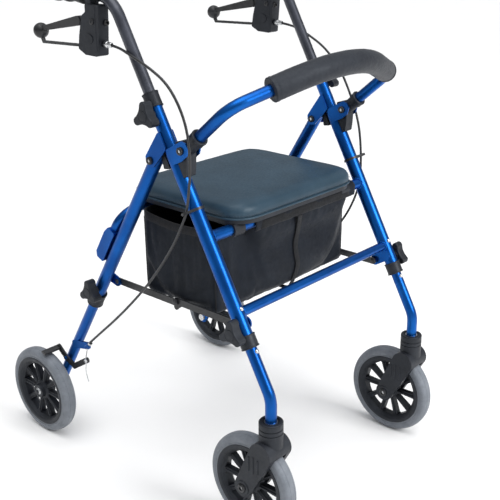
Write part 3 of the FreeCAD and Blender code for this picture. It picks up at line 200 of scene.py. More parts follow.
# The keys are the slot names of the CAD nodes.
FINISHES = {
    # candy metallic blue under clear coat, with fine flake and a slow drift of shade
    "blue_paint": finish(
        "candy_blue", (14, 2), (0.003, 0.064, 0.28), (0.005, 0.098, 0.39), 420, (0.30, 0.40),
        ("noise", (2600, 1), 0.00002, 0.5),
        Metallic=0.93, Coat_Weight=0.05, Coat_Roughness=0.08),
    "graphite_paint": finish(
        "graphite_satin", (30, 2), (0.030, 0.033, 0.045), (0.055, 0.060, 0.078), 500,
        (0.34, 0.46), ("noise", (2200, 1), 0.00002, 0.5),
        Metallic=0.55, Coat_Weight=0.35, Coat_Roughness=0.2),
    # moulded nylon: a spark-eroded grain and faint flow marks
    "black_plastic": finish(
        "moulded_black", (35, 3), (0.0075, 0.0085, 0.0115), (0.013, 0.0145, 0.019), 160,
        (0.42, 0.56), ("noise", (1500, 2), 0.00005, 0.6),
        Specular_IOR_Level=0.38, Specular_Tint=COOL_GLOSS),
    "black_steel": finish(
        "black_powder_coat", (60, 3), (0.010, 0.0105, 0.012), (0.020, 0.021, 0.024), 300,
        (0.32, 0.46), ("noise", (900, 3), 0.00006, 0.5),
        Metallic=0.15, Coat_Weight=0.08, Coat_Roughness=0.35),
    "grip_rubber": finish(
        "soft_grip", (40, 3), (0.014, 0.0145, 0.016), (0.027, 0.028, 0.031), 250, (0.6, 0.75),
        ("noise", (1100, 2), 0.00008, 0.6),
        Specular_IOR_Level=0.35, Sheen_Weight=0.15, Sheen_Roughness=0.6),
    # grey polyurethane, a little scuffed and dusty
    "grey_tyre": finish(
        "grey_polyurethane", (45, 5, 0.65), (0.122, 0.137, 0.160), (0.185, 0.202, 0.228), 220,
        (0.5, 0.68), ("noise", (700, 4), 0.00012, 0.5), span=(0.3, 0.7),
        Specular_IOR_Level=0.4, Sheen_Weight=0.1),
    "plated_steel": finish(
        "zinc_plate", (120, 4), (0.50, 0.51, 0.52), (0.68, 0.69, 0.70), 600, (0.2, 0.36),
        ("noise", (1800, 2), 0.00003, 0.4), Metallic=1.0),
    # coated black nylon: a plain weave, soft sheen and small pulls
    "nylon_cloth": finish(
        "black_nylon", (22, 4, 0.6), (0.0042, 0.0057, 0.0092), (0.0085, 0.0112, 0.0170), 140,
        (0.48, 0.62), ("noise", (75, 3), 0.0009, 0.35), ("weave", (0.0011,), 0.00012, 0.5),
        Specular_IOR_Level=0.17, Sheen_Weight=0.03, Sheen_Roughness=0.45,
        Specular_Tint=COOL_GLOSS),
    "webbing": finish(
        "woven_webbing", (90, 3), (0.003, 0.0034, 0.0046), (0.0065, 0.0072, 0.0095), 200,
        (0.62, 0.8), ("weave", (0.0016,), 0.00025, 0.7),
        Specular_IOR_Level=0.22, Sheen_Weight=0.08, Sheen_Roughness=0.5),
    # leather-grain vinyl: a cell pattern with fine creases between the cells
    "seat_vinyl": finish(
        "grained_vinyl", (18, 3), (0.016, 0.037, 0.057), (0.023, 0.049, 0.074), 260,
        (0.36, 0.5), ("noise", (28, 2), 0.0012, 0.25),
        ("cells", ("DISTANCE_TO_EDGE", 430.0), 0.00018, 0.45),
        Specular_IOR_Level=0.34, Coat_Weight=0.05, Coat_Roughness=0.35,
        Specular_Tint=(0.82, 0.93, 1, 1)),
    # closed-cell foam with a skin: fine pores and a soft bloom
    "pad_foam": finish(
        "foam_skin", (26, 4), (0.0085, 0.0100, 0.0145), (0.0140, 0.0165, 0.0220), 180,
        (0.5, 0.66), ("noise", (55, 2), 0.0007, 0.3), ("cells", ("F1", 900.0), 0.0002, 0.3),
        Specular_IOR_Level=0.36, Sheen_Weight=0.1, Sheen_Roughness=0.35,
        Specular_Tint=COOL_GLOSS),
    "cable_sheath": finish(
        "sheath_black", (70, 2), (0.010, 0.0105, 0.012), (0.017, 0.018, 0.020), 300,
        (0.3, 0.42), ("noise", (1300, 2), 0.00003, 0.5), Specular_IOR_Level=0.5),
}


def dress_frame():
    """Gives each carried-over CAD node the finish of its own slot."""
    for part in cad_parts.values():
        for place in part.material_slots:
            place.material = FINISHES[place.material.name.split(".")[0]]


# ---- mesh helpers

def link(name, data):
    """A new object in the scene that holds the data."""
    thing = bpy.data.objects.new(name, data)
    bpy.context.scene.collection.objects.link(thing)
    return thing


def turns(count):
    """That many equal steps of angle round a full turn."""
    return [2 * math.pi * k / count for k in range(count)]


def skin(form, rows, wrap=False, closed=True):
    """Faces between neighbouring rows of vertices. Wrap joins the last row to the first, and
    closed joins each row's last vertex to its first."""
    count = len(rows[0])
    for first, second in zip(rows, rows[1:] + rows[:1] if wrap else rows[1:]):
        for k in range(count if closed else count - 1):
            n = (k + 1) % count
            form.faces.new((first[k], first[n], second[n], second[k]))


def cap_ends(form, rows):
    """Closes a skinned form with a face over its first row and one over its last."""
    return [form.faces.new(rows[0][::-1]), form.faces.new(rows[-1])]


def piece(name, mesh, finish, body=None, sharp=38):
    """Adds a finished mesh as a piece that rides on a body."""
    mesh.shade_smooth()
    mesh.set_sharp_from_angle(angle=math.radians(sharp))
    thing = link(name, mesh)
    mesh.materials.clear()
    mesh.materials.append(FINISHES[finish])
    if body:
        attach(thing, body)
    return thing


def to_mesh(name, form):
    bmesh.ops.recalc_face_normals(form, faces=form.faces)
    mesh = bpy.data.meshes.new(name)
    form.to_mesh(mesh)
    form.free()
    return mesh


def frame_of(axis, up=None):
    """A rotation whose Z is the axis and whose X is as near to up as it can be."""
    z = Vector(axis).normalized()
    up = Vector(up) if up else (X_AXIS if abs(z.x) < 0.9 else Y_AXIS)
    y = z.cross(up).normalized()
    x = y.cross(z)
    return Matrix((x, y, z)).transposed().to_4x4()


def rounded(points, radius, closed=True, steps=4):
    """The same outline with each corner replaced by a smooth curve."""
    points = [Vector(p) for p in points]
    out = []
    count = len(points)
    for i, corner in enumerate(points):
        if not closed and i in (0, count - 1):
            out.append(corner)
            continue
        before, after = points[i - 1], points[(i + 1) % count]
        reach = min(radius, 0.45 * (before - corner).length, 0.45 * (after - corner).length)
        start = corner + (before - corner).normalized() * reach
        stop = corner + (after - corner).normalized() * reach
        for step in range(steps + 1):
            t = step / steps
            out.append(start * (1 - t) ** 2 + corner * 2 * t * (1 - t) + stop * t * t)
    return out


def lathe(name, profile, centre, axis, finish, body, steps=72, rounding=0.0, closed=False):
    """A turned piece: the profile is (along, radius) points about the axis at the centre."""
    points = [Vector((along, radius)) for along, radius in profile]
    if rounding:
        points = rounded(points, rounding, closed=closed, steps=4)
    turn = frame_of(axis)
    form = bmesh.new()
    rings = []
    for along, radius in points:
        if radius < 1e-7:
            rings.append([form.verts.new(Vector(centre) + turn @ Vector((0, 0, along)))])
            continue
        rings.append([form.verts.new(Vector(centre) + turn @ Vector(
            (radius * math.cos(a), radius * math.sin(a), along))) for a in turns(steps)])
    pairs = list(zip(rings, rings[1:]))
    if closed:
        pairs.append((rings[-1], rings[0]))
    for first, second in pairs:
        for k in range(steps):
            n = (k + 1) % steps
            corners = [first[k % len(first)], first[n % len(first)],
                       second[n % len(second)], second[k % len(second)]]
            distinct = list(dict.fromkeys(corners))
            if len(distinct) > 2:
                form.faces.new(distinct)
    return piece(name, to_mesh(name, form), finish, body)


def ring(name, profile, centre, axis, body, rounding, steps=72, finish="black_plastic"):
    """A turned ring: the profile closes on itself clear of the axis."""
    return lathe(name, profile, centre, axis, finish, body, steps, rounding, closed=True)


def prism(name, outline, thickness, place, finish, body, bevel):
    """A flat shape given depth: the outline is in the place's XY, centred on its Z."""
    form = bmesh.new()
    rows = [[form.verts.new(place @ Vector((*p, z))) for p in outline]
            for z in (-thickness / 2, thickness / 2)]
    edges = [edge for face in cap_ends(form, rows) for edge in face.edges]
    skin(form, rows)
    bmesh.ops.bevel(form, geom=edges, offset=bevel, segments=2, affect="EDGES",
                    clamp_overlap=True)
    return piece(name, to_mesh(name, form), finish, body)


def side_place(x, y, z, side=1):
    """A place whose XY plane is the walker's YZ plane and whose Z points outward."""
    return Matrix.Translation((x, y, z)) @ Matrix(((0, 0, side), (1, 0, 0), (0, 1, 0))).to_4x4()


def smooth_curve(points, steps, radius=0.0, resolution=0, cyclic=False):
    """The mesh of a smooth curve with those control points: a line, or a tube if it has
    a radius."""
    data = bpy.data.curves.new("line", "CURVE")
    data.dimensions = "3D"
    data.bevel_depth = radius
    data.bevel_resolution = resolution
    data.resolution_u = steps
    data.use_fill_caps = True
    line = data.splines.new("NURBS")
    line.points.add(len(points) - 1)
    for spot, point in zip(line.points, points):
        spot.co = (*point, 1)
    line.order_u = 3
    line.use_endpoint_u = not cyclic
    line.use_cyclic_u = cyclic
    holder = link("line", data)
    mesh = bpy.data.meshes.new_from_object(holder)
    bpy.data.objects.remove(holder)
    bpy.data.curves.remove(data)
    return mesh


def tube(name, points, radius, finish, body=None, steps=10, resolution=5, cyclic=False):
    mesh = smooth_curve(points, steps, radius, resolution, cyclic)
    mesh.name = name
    return piece(name, mesh, finish, body)


def ribbon(name, points, width, thickness, across, finish, body=None):
    """A flat strap along a smooth curve, its width lying along one fixed direction."""
    mesh = smooth_curve(points, 8)
    line = [v.co.copy() for v in mesh.vertices]
    bpy.data.meshes.remove(mesh)
    form = bmesh.new()
    rows = []
    edge = 0.35 * thickness
    section = rounded([(-width / 2, -thickness / 2), (width / 2, -thickness / 2),
                       (width / 2, thickness / 2), (-width / 2, thickness / 2)], edge, steps=2)
    for k, point in enumerate(line):
        ahead = line[min(k + 1, len(line) - 1)] - line[max(k - 1, 0)]
        face = ahead.cross(across).normalized()
        rows.append([form.verts.new(point + across * u + face * v) for u, v in section])
    skin(form, rows)
    cap_ends(form, rows)
    return piece(name, to_mesh(name, form), finish, body, sharp=60)


def socket_bolt(name, centre, axis, radius, height, finish, body):
    """A round bolt head with a hexagonal drive sunk in its crown."""
    turn = frame_of(axis)
    form = bmesh.new()
    drive = radius * 0.5
    steps = 36

    def hexagon(angle):
        """How far the drive's edge is from the bolt's axis at that angle."""
        local = (angle % (math.pi / 3)) - math.pi / 6
        return drive * math.cos(math.pi / 6) / math.cos(local)

    rings = []
    for reach, z in ((lambda a: radius, 0), (lambda a: radius, height * 0.45),
                     (lambda a: radius * 0.94, height * 0.75),
                     (lambda a: radius * 0.8, height * 0.95),
                     (lambda a: radius * 0.68, height), (hexagon, height),
                     (hexagon, height * 0.3)):
        rings.append([form.verts.new(Vector(centre) + turn @ Vector(
            (reach(a) * math.cos(a), reach(a) * math.sin(a), z))) for a in turns(steps)])
    skin(form, rings)
    cap_ends(form, rings)
    return piece(name, to_mesh(name, form), finish, body, sharp=30)


def lens_cap(name, centre, axis, radius, height, finish, body):
    """A low domed cap with a stepped edge."""
    profile = [(0, radius), (height * 0.35, radius), (height * 0.6, radius * 0.9),
               (height * 0.85, radius * 0.6), (height, radius * 0.25), (height, 0)]
    return lathe(name, profile, centre, axis, finish, body, steps=48, rounding=radius * 0.12)


# ---- cloth simulation

def inflate(mesh, pressure, cap, voxel=None, frames=20, gravity=0.0, pinned=None, shrink=0.0,
            mass=0.3, stiffness=15.0, bending=0.5):
    """Simulates a mesh as cloth and returns it swollen or sagged, no point past the cap.
    cap(rest, moved) returns where a point may be; pinned(point) is how far it is held."""
    scene = bpy.context.scene
    thing = link("cloth_form", mesh)
    if voxel:
        remesh = thing.modifiers.new("voxels", "REMESH")
        remesh.mode = "VOXEL"
        remesh.voxel_size = voxel
        apply_all(thing)
    rest = [v.co.copy() for v in thing.data.vertices]
    cloth = thing.modifiers.new("cloth", "CLOTH")
    facts = cloth.settings
    facts.quality = 6
    facts.mass = mass
    facts.tension_stiffness = stiffness
    facts.compression_stiffness = stiffness
    facts.shear_stiffness = stiffness / 3
    facts.bending_stiffness = bending
    facts.effector_weights.gravity = gravity
    facts.shrink_min = shrink
    facts.use_pressure = True
    facts.uniform_pressure_force = pressure
    if pinned:
        held = thing.vertex_groups.new(name="held")
        for number, point in enumerate(rest):
            weight = pinned(point)
            if weight > 0:
                held.add([number], weight, "REPLACE")
        facts.vertex_group_mass = "held"
    cloth.collision_settings.use_collision = False
    cloth.point_cache.frame_start = 1
    cloth.point_cache.frame_end = frames
    for number in range(1, frames + 1):
        scene.frame_set(number)
    apply_all(thing)
    scene.frame_set(1)
    for vertex, before in zip(thing.data.vertices, rest):
        vertex.co = cap(before, vertex.co.copy())
    smoothing = thing.modifiers.new("smooth", "SMOOTH")
    smoothing.factor = 0.5
    smoothing.iterations = 2
    apply_all(thing)
    finer = thing.modifiers.new("finer", "SUBSURF")
    finer.levels = 1
    apply_all(thing)
    mesh = thing.data
    bpy.data.objects.remove(thing)
    return mesh


def apply_all(thing):
    """Bakes an object's modifiers into its mesh."""
    graph = bpy.context.evaluated_depsgraph_get()
    baked = bpy.data.meshes.new_from_object(thing.evaluated_get(graph))
    thing.modifiers.clear()
    thing.data = baked


def thicken(thing, thickness):
    """Gives a sheet of cloth its thickness, half on each side."""
    wall = thing.modifiers.new("cloth_wall", "SOLIDIFY")
    wall.thickness = thickness
    wall.offset = 0
    apply_all(thing)


# ---- seat

def rounded_ring(low, high, inset, corner, z, steps=8):
    """The points of a rounded rectangle, drawn in from the box by the inset."""
    x0, y0, x1, y1 = low.x + inset, low.y + inset, high.x - inset, high.y - inset
    points = rounded([(x0, y0), (x1, y0), (x1, y1), (x0, y1)], corner - inset * 0.6, steps=steps)
    return [Vector((p.x, p.y, z)) for p in points]


def stacked(rings):
    """A closed form through the rings, with a flat face at each end."""
    form = bmesh.new()
    rows = [[form.verts.new(p) for p in ring] for ring in rings]
    skin(form, rows)
    cap_ends(form, rows)
    return form


SEAT_CORNER = 0.062


def seat_pad():
    """A crowned vinyl cushion over a stitched lip, with a welt at its foot."""
    low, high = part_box("seat_pad")
    layers = [(0.0060, 0.0), (0.0025, 0.003), (0.0015, 0.012), (0.0035, 0.020), (0.010, 0.0255),
              (0.022, 0.0285)]
    form = stacked([rounded_ring(low, high, inset, SEAT_CORNER, low.z + rise)
                    for inset, rise in layers])
    mesh = to_mesh("seat_cushion", form)
    middle = (low + high) / 2
    half = (high - low) / 2

    def cap(before, after):
        step = after - before
        reach = max(abs(before.x - middle.x) / half.x, abs(before.y - middle.y) / half.y)
        crown = 0.0075 * max(0.0, 1 - reach ** 3)
        foot = before.z - low.z
        side = 0.0022 if foot > 0.002 else 0.0
        rise = min(max(step.z, 0.0), crown) if foot > 0.02 else 0.0
        flat = Vector((step.x, step.y, 0))
        flat *= min(1.0, side / max(flat.length, 1e-9))
        return before + flat + Z_AXIS * rise

    mesh = inflate(mesh, pressure=4.0, cap=cap, voxel=0.005)
    cushion = piece("seat_cushion", mesh, "seat_vinyl", "seat", sharp=180)
    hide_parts("seat_pad")
    welt = rounded_ring(low, high, 0.0035, SEAT_CORNER, low.z + 0.0022, steps=5)
    tube("seat_welt", welt, 0.0022, "seat_vinyl", "seat", cyclic=True, steps=4, resolution=3)
    row = rounded_ring(low, high, 0.0012, SEAT_CORNER, low.z + 0.0085, steps=5)
    stitches("seat_stitching", row, 0.0055, 0.0034, 0.00035, "seat")


def stitches(name, outline, pitch, length, radius, body):
    """A row of short thread stitches round a closed outline."""
    form = bmesh.new()
    spans = list(zip(outline, outline[1:] + outline[:1]))
    total = sum((b - a).length for a, b in spans)
    count = int(total / pitch)
    travelled = 0.0
    spot = 0
    for k in range(count):
        goal = k * total / count
        while travelled + (spans[spot][1] - spans[spot][0]).length < goal:
            travelled += (spans[spot][1] - spans[spot][0]).length
            spot += 1
        a, b = spans[spot]
        way = (b - a).normalized()
        centre = a + way * (goal - travelled)
        turn = Matrix.Translation(centre) @ frame_of(way)
        bmesh.ops.create_cone(form, cap_ends=True, segments=6, radius1=radius, radius2=radius,
                              depth=length, matrix=turn)
    return piece(name, to_mesh(name, form), "webbing", body)


# ---- backrest

SIDE_BEND = 0.050
SIDE_TURN = math.radians(63.4)
BAR_START = 0.104
MIDDLE_BEND = 0.2855
PAD_SETBACK = 0.052
SLOPE = (SIDE_X - SIDE_BEND * (1 - math.cos(SIDE_TURN))
         - MIDDLE_BEND * math.cos(SIDE_TURN)) / math.sin(SIDE_TURN)
ARM = Vector((0, -math.cos(BACKREST_TILT), math.sin(BACKREST_TILT)))
ARM_UP = Vector((0, math.sin(BACKREST_TILT), math.cos(BACKREST_TILT)))


def backrest_point(x, reach):
    """A point on the backrest's middle plane: along its arms from the pivot."""
    return Vector((x, *BACKREST_PIVOT)) + ARM * reach


def pad_line(steps=44):
    """(point, heading) down the foam's middle: a straight, the long arc and a straight."""
    x = -SIDE_X + SIDE_BEND * (1 - math.cos(SIDE_TURN))
    reach = BAR_START + SIDE_BEND * math.sin(SIDE_TURN)
    arc = MIDDLE_BEND * (math.pi - 2 * SIDE_TURN)
    total = 2 * SLOPE + arc
    found = []
    for k in range(steps + 1):
        here = PAD_SETBACK + (total - PAD_SETBACK) * k / steps
        bend = min(max(here - SLOPE, 0.0), arc) / MIDDLE_BEND
        heading = SIDE_TURN + bend
        first = min(here, SLOPE)
        last = max(0.0, here - SLOPE - arc)
        px = x + first * math.sin(SIDE_TURN) + last * math.sin(math.pi - SIDE_TURN)
        px += MIDDLE_BEND * (math.cos(SIDE_TURN) - math.cos(heading))
        pr = reach + first * math.cos(SIDE_TURN) + last * math.cos(math.pi - SIDE_TURN)
        pr += MIDDLE_BEND * (math.sin(heading) - math.sin(SIDE_TURN))
        way = X_AXIS * math.sin(heading) + ARM * math.cos(heading)
        found.append((backrest_point(px, pr), way))
    return found


def backrest_pad():
    """Thick foam slipped over the bar: full and round, with soft cut ends."""
    line = pad_line()
    radius = 0.0225
    form_rings = []
    around = 32
    ends = [(0.0, 0.80), (0.0012, 0.90), (0.004, 0.975)]
    start, way = line[0]
    stop, last_way = line[-1]
    stations = [(start + way * d, way, s) for d, s in ends]
    stations += [(p, w, 1.0) for p, w in line[1:-1]]
    stations += [(stop - last_way * d, last_way, s) for d, s in reversed(ends)]
    for point, heading, share in stations:
        outward = heading.cross(ARM_UP).normalized()
        form_rings.append([point + (outward * math.cos(a) + ARM_UP * math.sin(a)) * radius * share
                           for a in turns(around)])
    mesh = to_mesh("backrest_foam", stacked(form_rings))

    def cap(before, after):
        step = after - before
        near = min((before - start).dot(way), (stop - before).dot(last_way))
        limit = 0.0022 if near > 0.003 else 0.0004
        return before + step * min(1.0, limit / max(step.length, 1e-9))

    mesh = inflate(mesh, pressure=3.0, cap=cap, voxel=0.0042)
    foam = piece("backrest_foam", mesh, "pad_foam", "backrest", sharp=180)
    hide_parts("backrest_pad")
    for label, spot, heading in (("right", start, way), ("left", stop, -last_way)):
        ring(f"foam_cut_face_{label}",
             [(-0.0006, 0.0116), (-0.0006, 0.0216), (0.0002, 0.0224), (0.0060, 0.0228),
              (0.0060, 0.0116)], spot, heading, "backrest", 0.0003, finish="pad_foam")


def backrest_fittings():
    """The rolled mouth of each moulded elbow."""
    for tag, side in SIDES.items():
        mouth = Vector((side * SIDE_X, *BACKREST_PIVOT)) + ARM * 0.041
        ring(f"elbow_mouth_{tag}",
             [(-0.0025, 0.0148), (-0.0012, 0.0163), (0.0012, 0.0163), (0.0026, 0.0148),
              (0.0026, 0.0114), (-0.0025, 0.0114)], mouth, ARM, "backrest", 0.0006)


# ---- bag and strap

BAG_CORNER = 0.018
SLEEVE_START = -0.121
SLEEVE_STOP = 0.198
LEAN = 0.0295
BAG_ROWS = 24
BAG_FLOOR_ROWS = 16
BAG_HALF = 0.203
BAG_MIDDLE_Y = -0.081
SIDE_BULGE = 0.0095
FRONT_BULGE = 0.010


def crumple(thing):
    """Gives a soft piece a mesh of its own."""
    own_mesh(thing)


def over_tube(point, low):
    """How far the front wall's top leans ahead, to run up over the seat tube."""
    if point.y > low.y + 0.001:
        return 0.0
    near = min((point.x - SLEEVE_START) / 0.012, (SLEEVE_STOP - point.x) / 0.008)
    return LEAN * max(0.0, min(1.0, near))


def bag_rings(low, high):
    """Level rings down the bag's walls, then rings in across its floor."""
    step = 0.0065
    outline = rounded([(low.x, low.y), (high.x, low.y), (high.x, high.y), (low.x, high.y)],
                      BAG_CORNER, steps=5)
    dense = []
    for a, b in zip(outline, outline[1:] + outline[:1]):
        parts = max(1, round((b - a).length / step))
        dense += [a.lerp(b, k / parts) for k in range(parts)]
    rings = []
    middle_y = (low.y + high.y) / 2
    spine = (high.x - low.x) / 2 - (high.y - low.y) / 2
    for row in range(BAG_ROWS + 1):
        share = row / BAG_ROWS
        ring = []
        for p in dense:
            across = math.sin(math.pi * (p.y - low.y) / (high.y - low.y))
            hang = (0.0090 * across - 0.0085) * (1 - share)
            ahead = over_tube(p, low) * max(0.0, 1 - share / 0.42) ** 1.6
            ring.append(Vector((p.x, p.y - ahead, high.z + (low.z - high.z) * share - hang)))
        rings.append(ring)
    for row in range(1, BAG_FLOOR_ROWS + 1):
        share = row / BAG_FLOOR_ROWS
        ring = []
        for p in dense:
            goal = Vector((max(-spine, min(spine, p.x)), middle_y))
            spot = p.lerp(goal, share * 0.985)
            ring.append(Vector((spot.x, spot.y, low.z)))
        rings.append(ring)
    return rings


def storage_bag():
    """A sewn nylon bag, hung from its hem and let sag and wrinkle as cloth."""
    low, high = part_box("storage_bag")
    rings = bag_rings(low, high)
    count = len(rings[0])
    form = bmesh.new()
    rows = [[form.verts.new(p) for p in ring] for ring in rings]
    skin(form, rows)
    half = count // 2
    for k in range(1, half - 1):
        form.faces.new((rows[-1][k], rows[-1][k + 1], rows[-1][count - k - 1],
                        rows[-1][count - k]))
    form.faces.new((rows[-1][0], rows[-1][1], rows[-1][count - 1]))
    mesh = to_mesh("storage_bag_cloth", form)

    def pinned(point):
        if point.z > high.z - 0.009:
            return 1.0
        by_end = max(0.0, 1 - (BAG_HALF - abs(point.x)) / 0.020)
        by_face = max(0.0, 1 - min(point.y - low.y, high.y - point.y) / 0.020)
        by_floor = max(0.0, 1 - (point.z - low.z) / 0.012)
        return max(0.0, 0.85 * min(by_end, by_face), 0.5 * min(by_floor, max(by_end, by_face)))

    def cap(before, after):
        step = after - before
        step *= min(1.0, 0.012 / max(step.length, 1e-9))
        spot = before + step
        over_bar = abs(spot.y - BAG_MIDDLE_Y) <= 0.03
        spot.z = max(spot.z, low.z - (0.0005 if over_bar else 0.009))
        spot.y = max(spot.y, min(before.y, low.y) - FRONT_BULGE)
        widest = BAG_HALF + SIDE_BULGE
        spot.x = max(-widest, min(widest, spot.x))
        return spot

    mesh = inflate(mesh, pressure=0.25, cap=cap, frames=26, gravity=1.0, pinned=pinned,
                   shrink=-0.035, mass=0.15, stiffness=8.0, bending=0.08)
    thing = piece("storage_bag_cloth", mesh, "nylon_cloth", sharp=180)
    seams = {}
    for label, x, y in (("front_left", 1, -1), ("front_right", -1, -1),
                        ("back_left", 1, 1), ("back_right", -1, 1)):
        seams[label] = seam_points(mesh, low, high, x, y)
    hem = hem_points(mesh, high)
    thicken(thing, 0.0012)
    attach(thing, "frame")
    trims = []
    for label, points in seams.items():
        trims.append(tube(f"bag_seam_{label}", points, 0.0013, "webbing", "frame", resolution=3))
    trims.append(hem_band("bag_hem", hem, 0.016, 0.0011))
    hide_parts("storage_bag")
    for soft in [thing] + trims:
        crumple(soft)
    tube_sleeve("bag_sleeve", SLEEVE_START, SLEEVE_STOP)


def seam_points(mesh, low, high, x_side, y_side):
    """Points down one upright corner of the bag, on its simulated cloth."""
    corner_x = high.x if x_side > 0 else low.x
    corner_y = high.y if y_side > 0 else low.y
    points = []
    rows = 9
    for row in range(rows + 1):
        z = high.z - 0.006 + (low.z - high.z + 0.008) * row / rows
        inset = 0.0045
        goal = Vector((corner_x - x_side * inset, corner_y - y_side * inset, z))
        nearest = min(mesh.vertices, key=lambda v: (v.co - goal).length_squared).co
        points.append(Vector((nearest.x, nearest.y, z)) + Vector((x_side, y_side, 0)) * 0.0006)
    return points


def hem_points(mesh, high):
    """The bag's top edge, in order round it."""
    edge = [v.co.copy() for v in mesh.vertices if v.co.z > high.z - 0.0035]
    middle = sum(edge, Vector()) / len(edge)
    sectors = {}
    for p in edge:
        angle = math.atan2((p.y - middle.y) * 1.65, p.x - middle.x)
        sectors.setdefault(round(angle * 24), []).append(p)
    return [max(group, key=lambda p: p.z) for _, group in sorted(sectors.items())]


def tube_sleeve(name, start, stop):
    """The bag's front cloth: over the seat tube, round it and back down on itself."""
    centre = front(0, SEAT_TUBE_ALONG)
    hug = 0.0138
    path = [(-0.1795, 0.540), (-0.1795, 0.556)]
    path += [(centre.y + hug * math.cos(a), centre.z + hug * math.sin(a))
             for a in (math.radians(d) for d in range(-20, 201, 20))]
    path += [(-0.2052, 0.557), (-0.2035, 0.551)]
    stations = max(4, round((stop - start) / 0.006))
    form = bmesh.new()
    rows = []
    for k in range(stations + 1):
        x = start + (stop - start) * k / stations
        gather = 0.0004 * math.sin(x * 58) + 0.0003 * math.sin(x * 131 + 1.3)
        row = [form.verts.new((x, y + gather, z + gather)) for y, z in path]
        rows.append(row)
    skin(form, rows, closed=False)
    thing = piece(name, to_mesh(name, form), "nylon_cloth", sharp=180)
    thicken(thing, 0.0010)
    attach(thing, "frame")


def hem_band(name, line, height, thickness):
    """A folded binding round the bag's mouth."""
    form = bmesh.new()
    middle = sum(line, Vector()) / len(line)
    rows = []
    for k, p in enumerate(line):
        way = line[(k + 1) % len(line)] - line[k - 1]
        out = way.cross(Z_AXIS).normalized()
        if out.dot(p - middle) < 0:
            out = -out
        top = Vector((p.x, p.y, p.z + 0.001))
        rows.append([form.verts.new(top + out * o + Z_AXIS * z) for o, z in (
            (thickness, -height), (thickness * 1.5, -height + 0.001),
            (thickness * 1.5, -0.001), (thickness, 0.0005), (-thickness, 0.0005),
            (-thickness * 1.5, -0.001), (-thickness * 1.5, -height + 0.001),
            (-thickness, -height))])
    skin(form, rows, wrap=True)
    return piece(name, to_mesh(name, form), "webbing", "frame", sharp=50)


def pull_strap():
    """The pull strap: down the bag's front in an easy wave and under it to the brace bar."""
    low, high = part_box("pull_strap")
    face = low.y - 0.0030
    points = [(0.010, face - 0.0255, high.z), (0.015, face - 0.0200, 0.535),
              (0.022, face - 0.0095, 0.508), (0.018, face - 0.0070, 0.488),
              (0.021, face - 0.0075, 0.462), (0.029, face - 0.0075, 0.438),
              (0.017, face - 0.0075, 0.414), (0.006, face - 0.0040, 0.3940),
              (0.001, face + 0.008, 0.3905), (0.0, -0.150, 0.3925),
              (0.0, -0.110, 0.3975), (0.0, high.y - 0.012, 0.3985), (0.0, high.y, 0.3985)]
    strap = ribbon("pull_strap_webbing", points, 0.014, 0.0014, X_AXIS, "webbing", "frame")
    length = sum((Vector(b) - Vector(a)).length for a, b in zip(points, points[1:]))
    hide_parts("pull_strap")
    crumple(strap)


# ---- cables and wires

UPPER_ROUTES = {
    "right": [(0.241, 0.0415, 0.888), (0.248, 0.006, 0.887), (0.2535, -0.032, 0.876),
              (0.257, -0.084, 0.860), (0.2585, -0.128, 0.838), (0.2595, -0.159, 0.800),
              (0.260, -0.175, 0.760), (0.260, -0.179, 0.712), (0.259, -0.174, 0.662),
              (0.256, -0.161, 0.612)],
    "left": [(0.241, 0.041, 0.888), (0.249, 0.010, 0.8845), (0.2555, -0.028, 0.8665),
             (0.259, -0.072, 0.842), (0.262, -0.112, 0.800), (0.2635, -0.140, 0.748),
             (0.263, -0.161, 0.700), (0.2615, -0.1715, 0.656), (0.259, -0.176, 0.620)],
}
LOWER_ROUTES = {
    "right": [(0.256, -0.161, 0.612), (0.2556, -0.136, 0.562), (0.255, -0.1035, 0.514),
              (0.254, -0.066, 0.467), (0.253, -0.024, 0.420), (0.2515, 0.022, 0.374),
              (0.250, 0.072, 0.327), (0.248, 0.125, 0.281), (0.246, 0.170, 0.241)],
    "left": [(0.259, -0.176, 0.620), (0.259, -0.1775, 0.585), (0.2585, -0.1735, 0.550),
             (0.258, -0.162, 0.515), (0.257, -0.142, 0.475), (0.2555, -0.112, 0.434),
             (0.254, -0.074, 0.398), (0.2525, -0.028, 0.370), (0.251, 0.022, 0.345),
             (0.2495, 0.072, 0.3173), (0.248, 0.122, 0.2835), (0.246, 0.170, 0.241)],
}
CABLE_RADIUS = 0.0025


def brake_cables():
    """The sheathed cables: each side hangs in its own curve, as in the photograph."""
    for tag, side in SIDES.items():
        upper = [(side * x, y, z) for x, y, z in UPPER_ROUTES[tag]]
        lower = [(side * x, y, z) for x, y, z in LOWER_ROUTES[tag]]
        line = tube(f"brake_cable_upper_{tag}", upper, CABLE_RADIUS, "cable_sheath")
        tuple(upper[-2])
        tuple(upper[1])
        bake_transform(line)
        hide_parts("cables_upper")
        line = tube(f"brake_cable_lower_{tag}", lower, CABLE_RADIUS, "cable_sheath")
        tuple(lower[1])
        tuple(lower[-2])
        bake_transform(line)
        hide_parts("cables_lower")


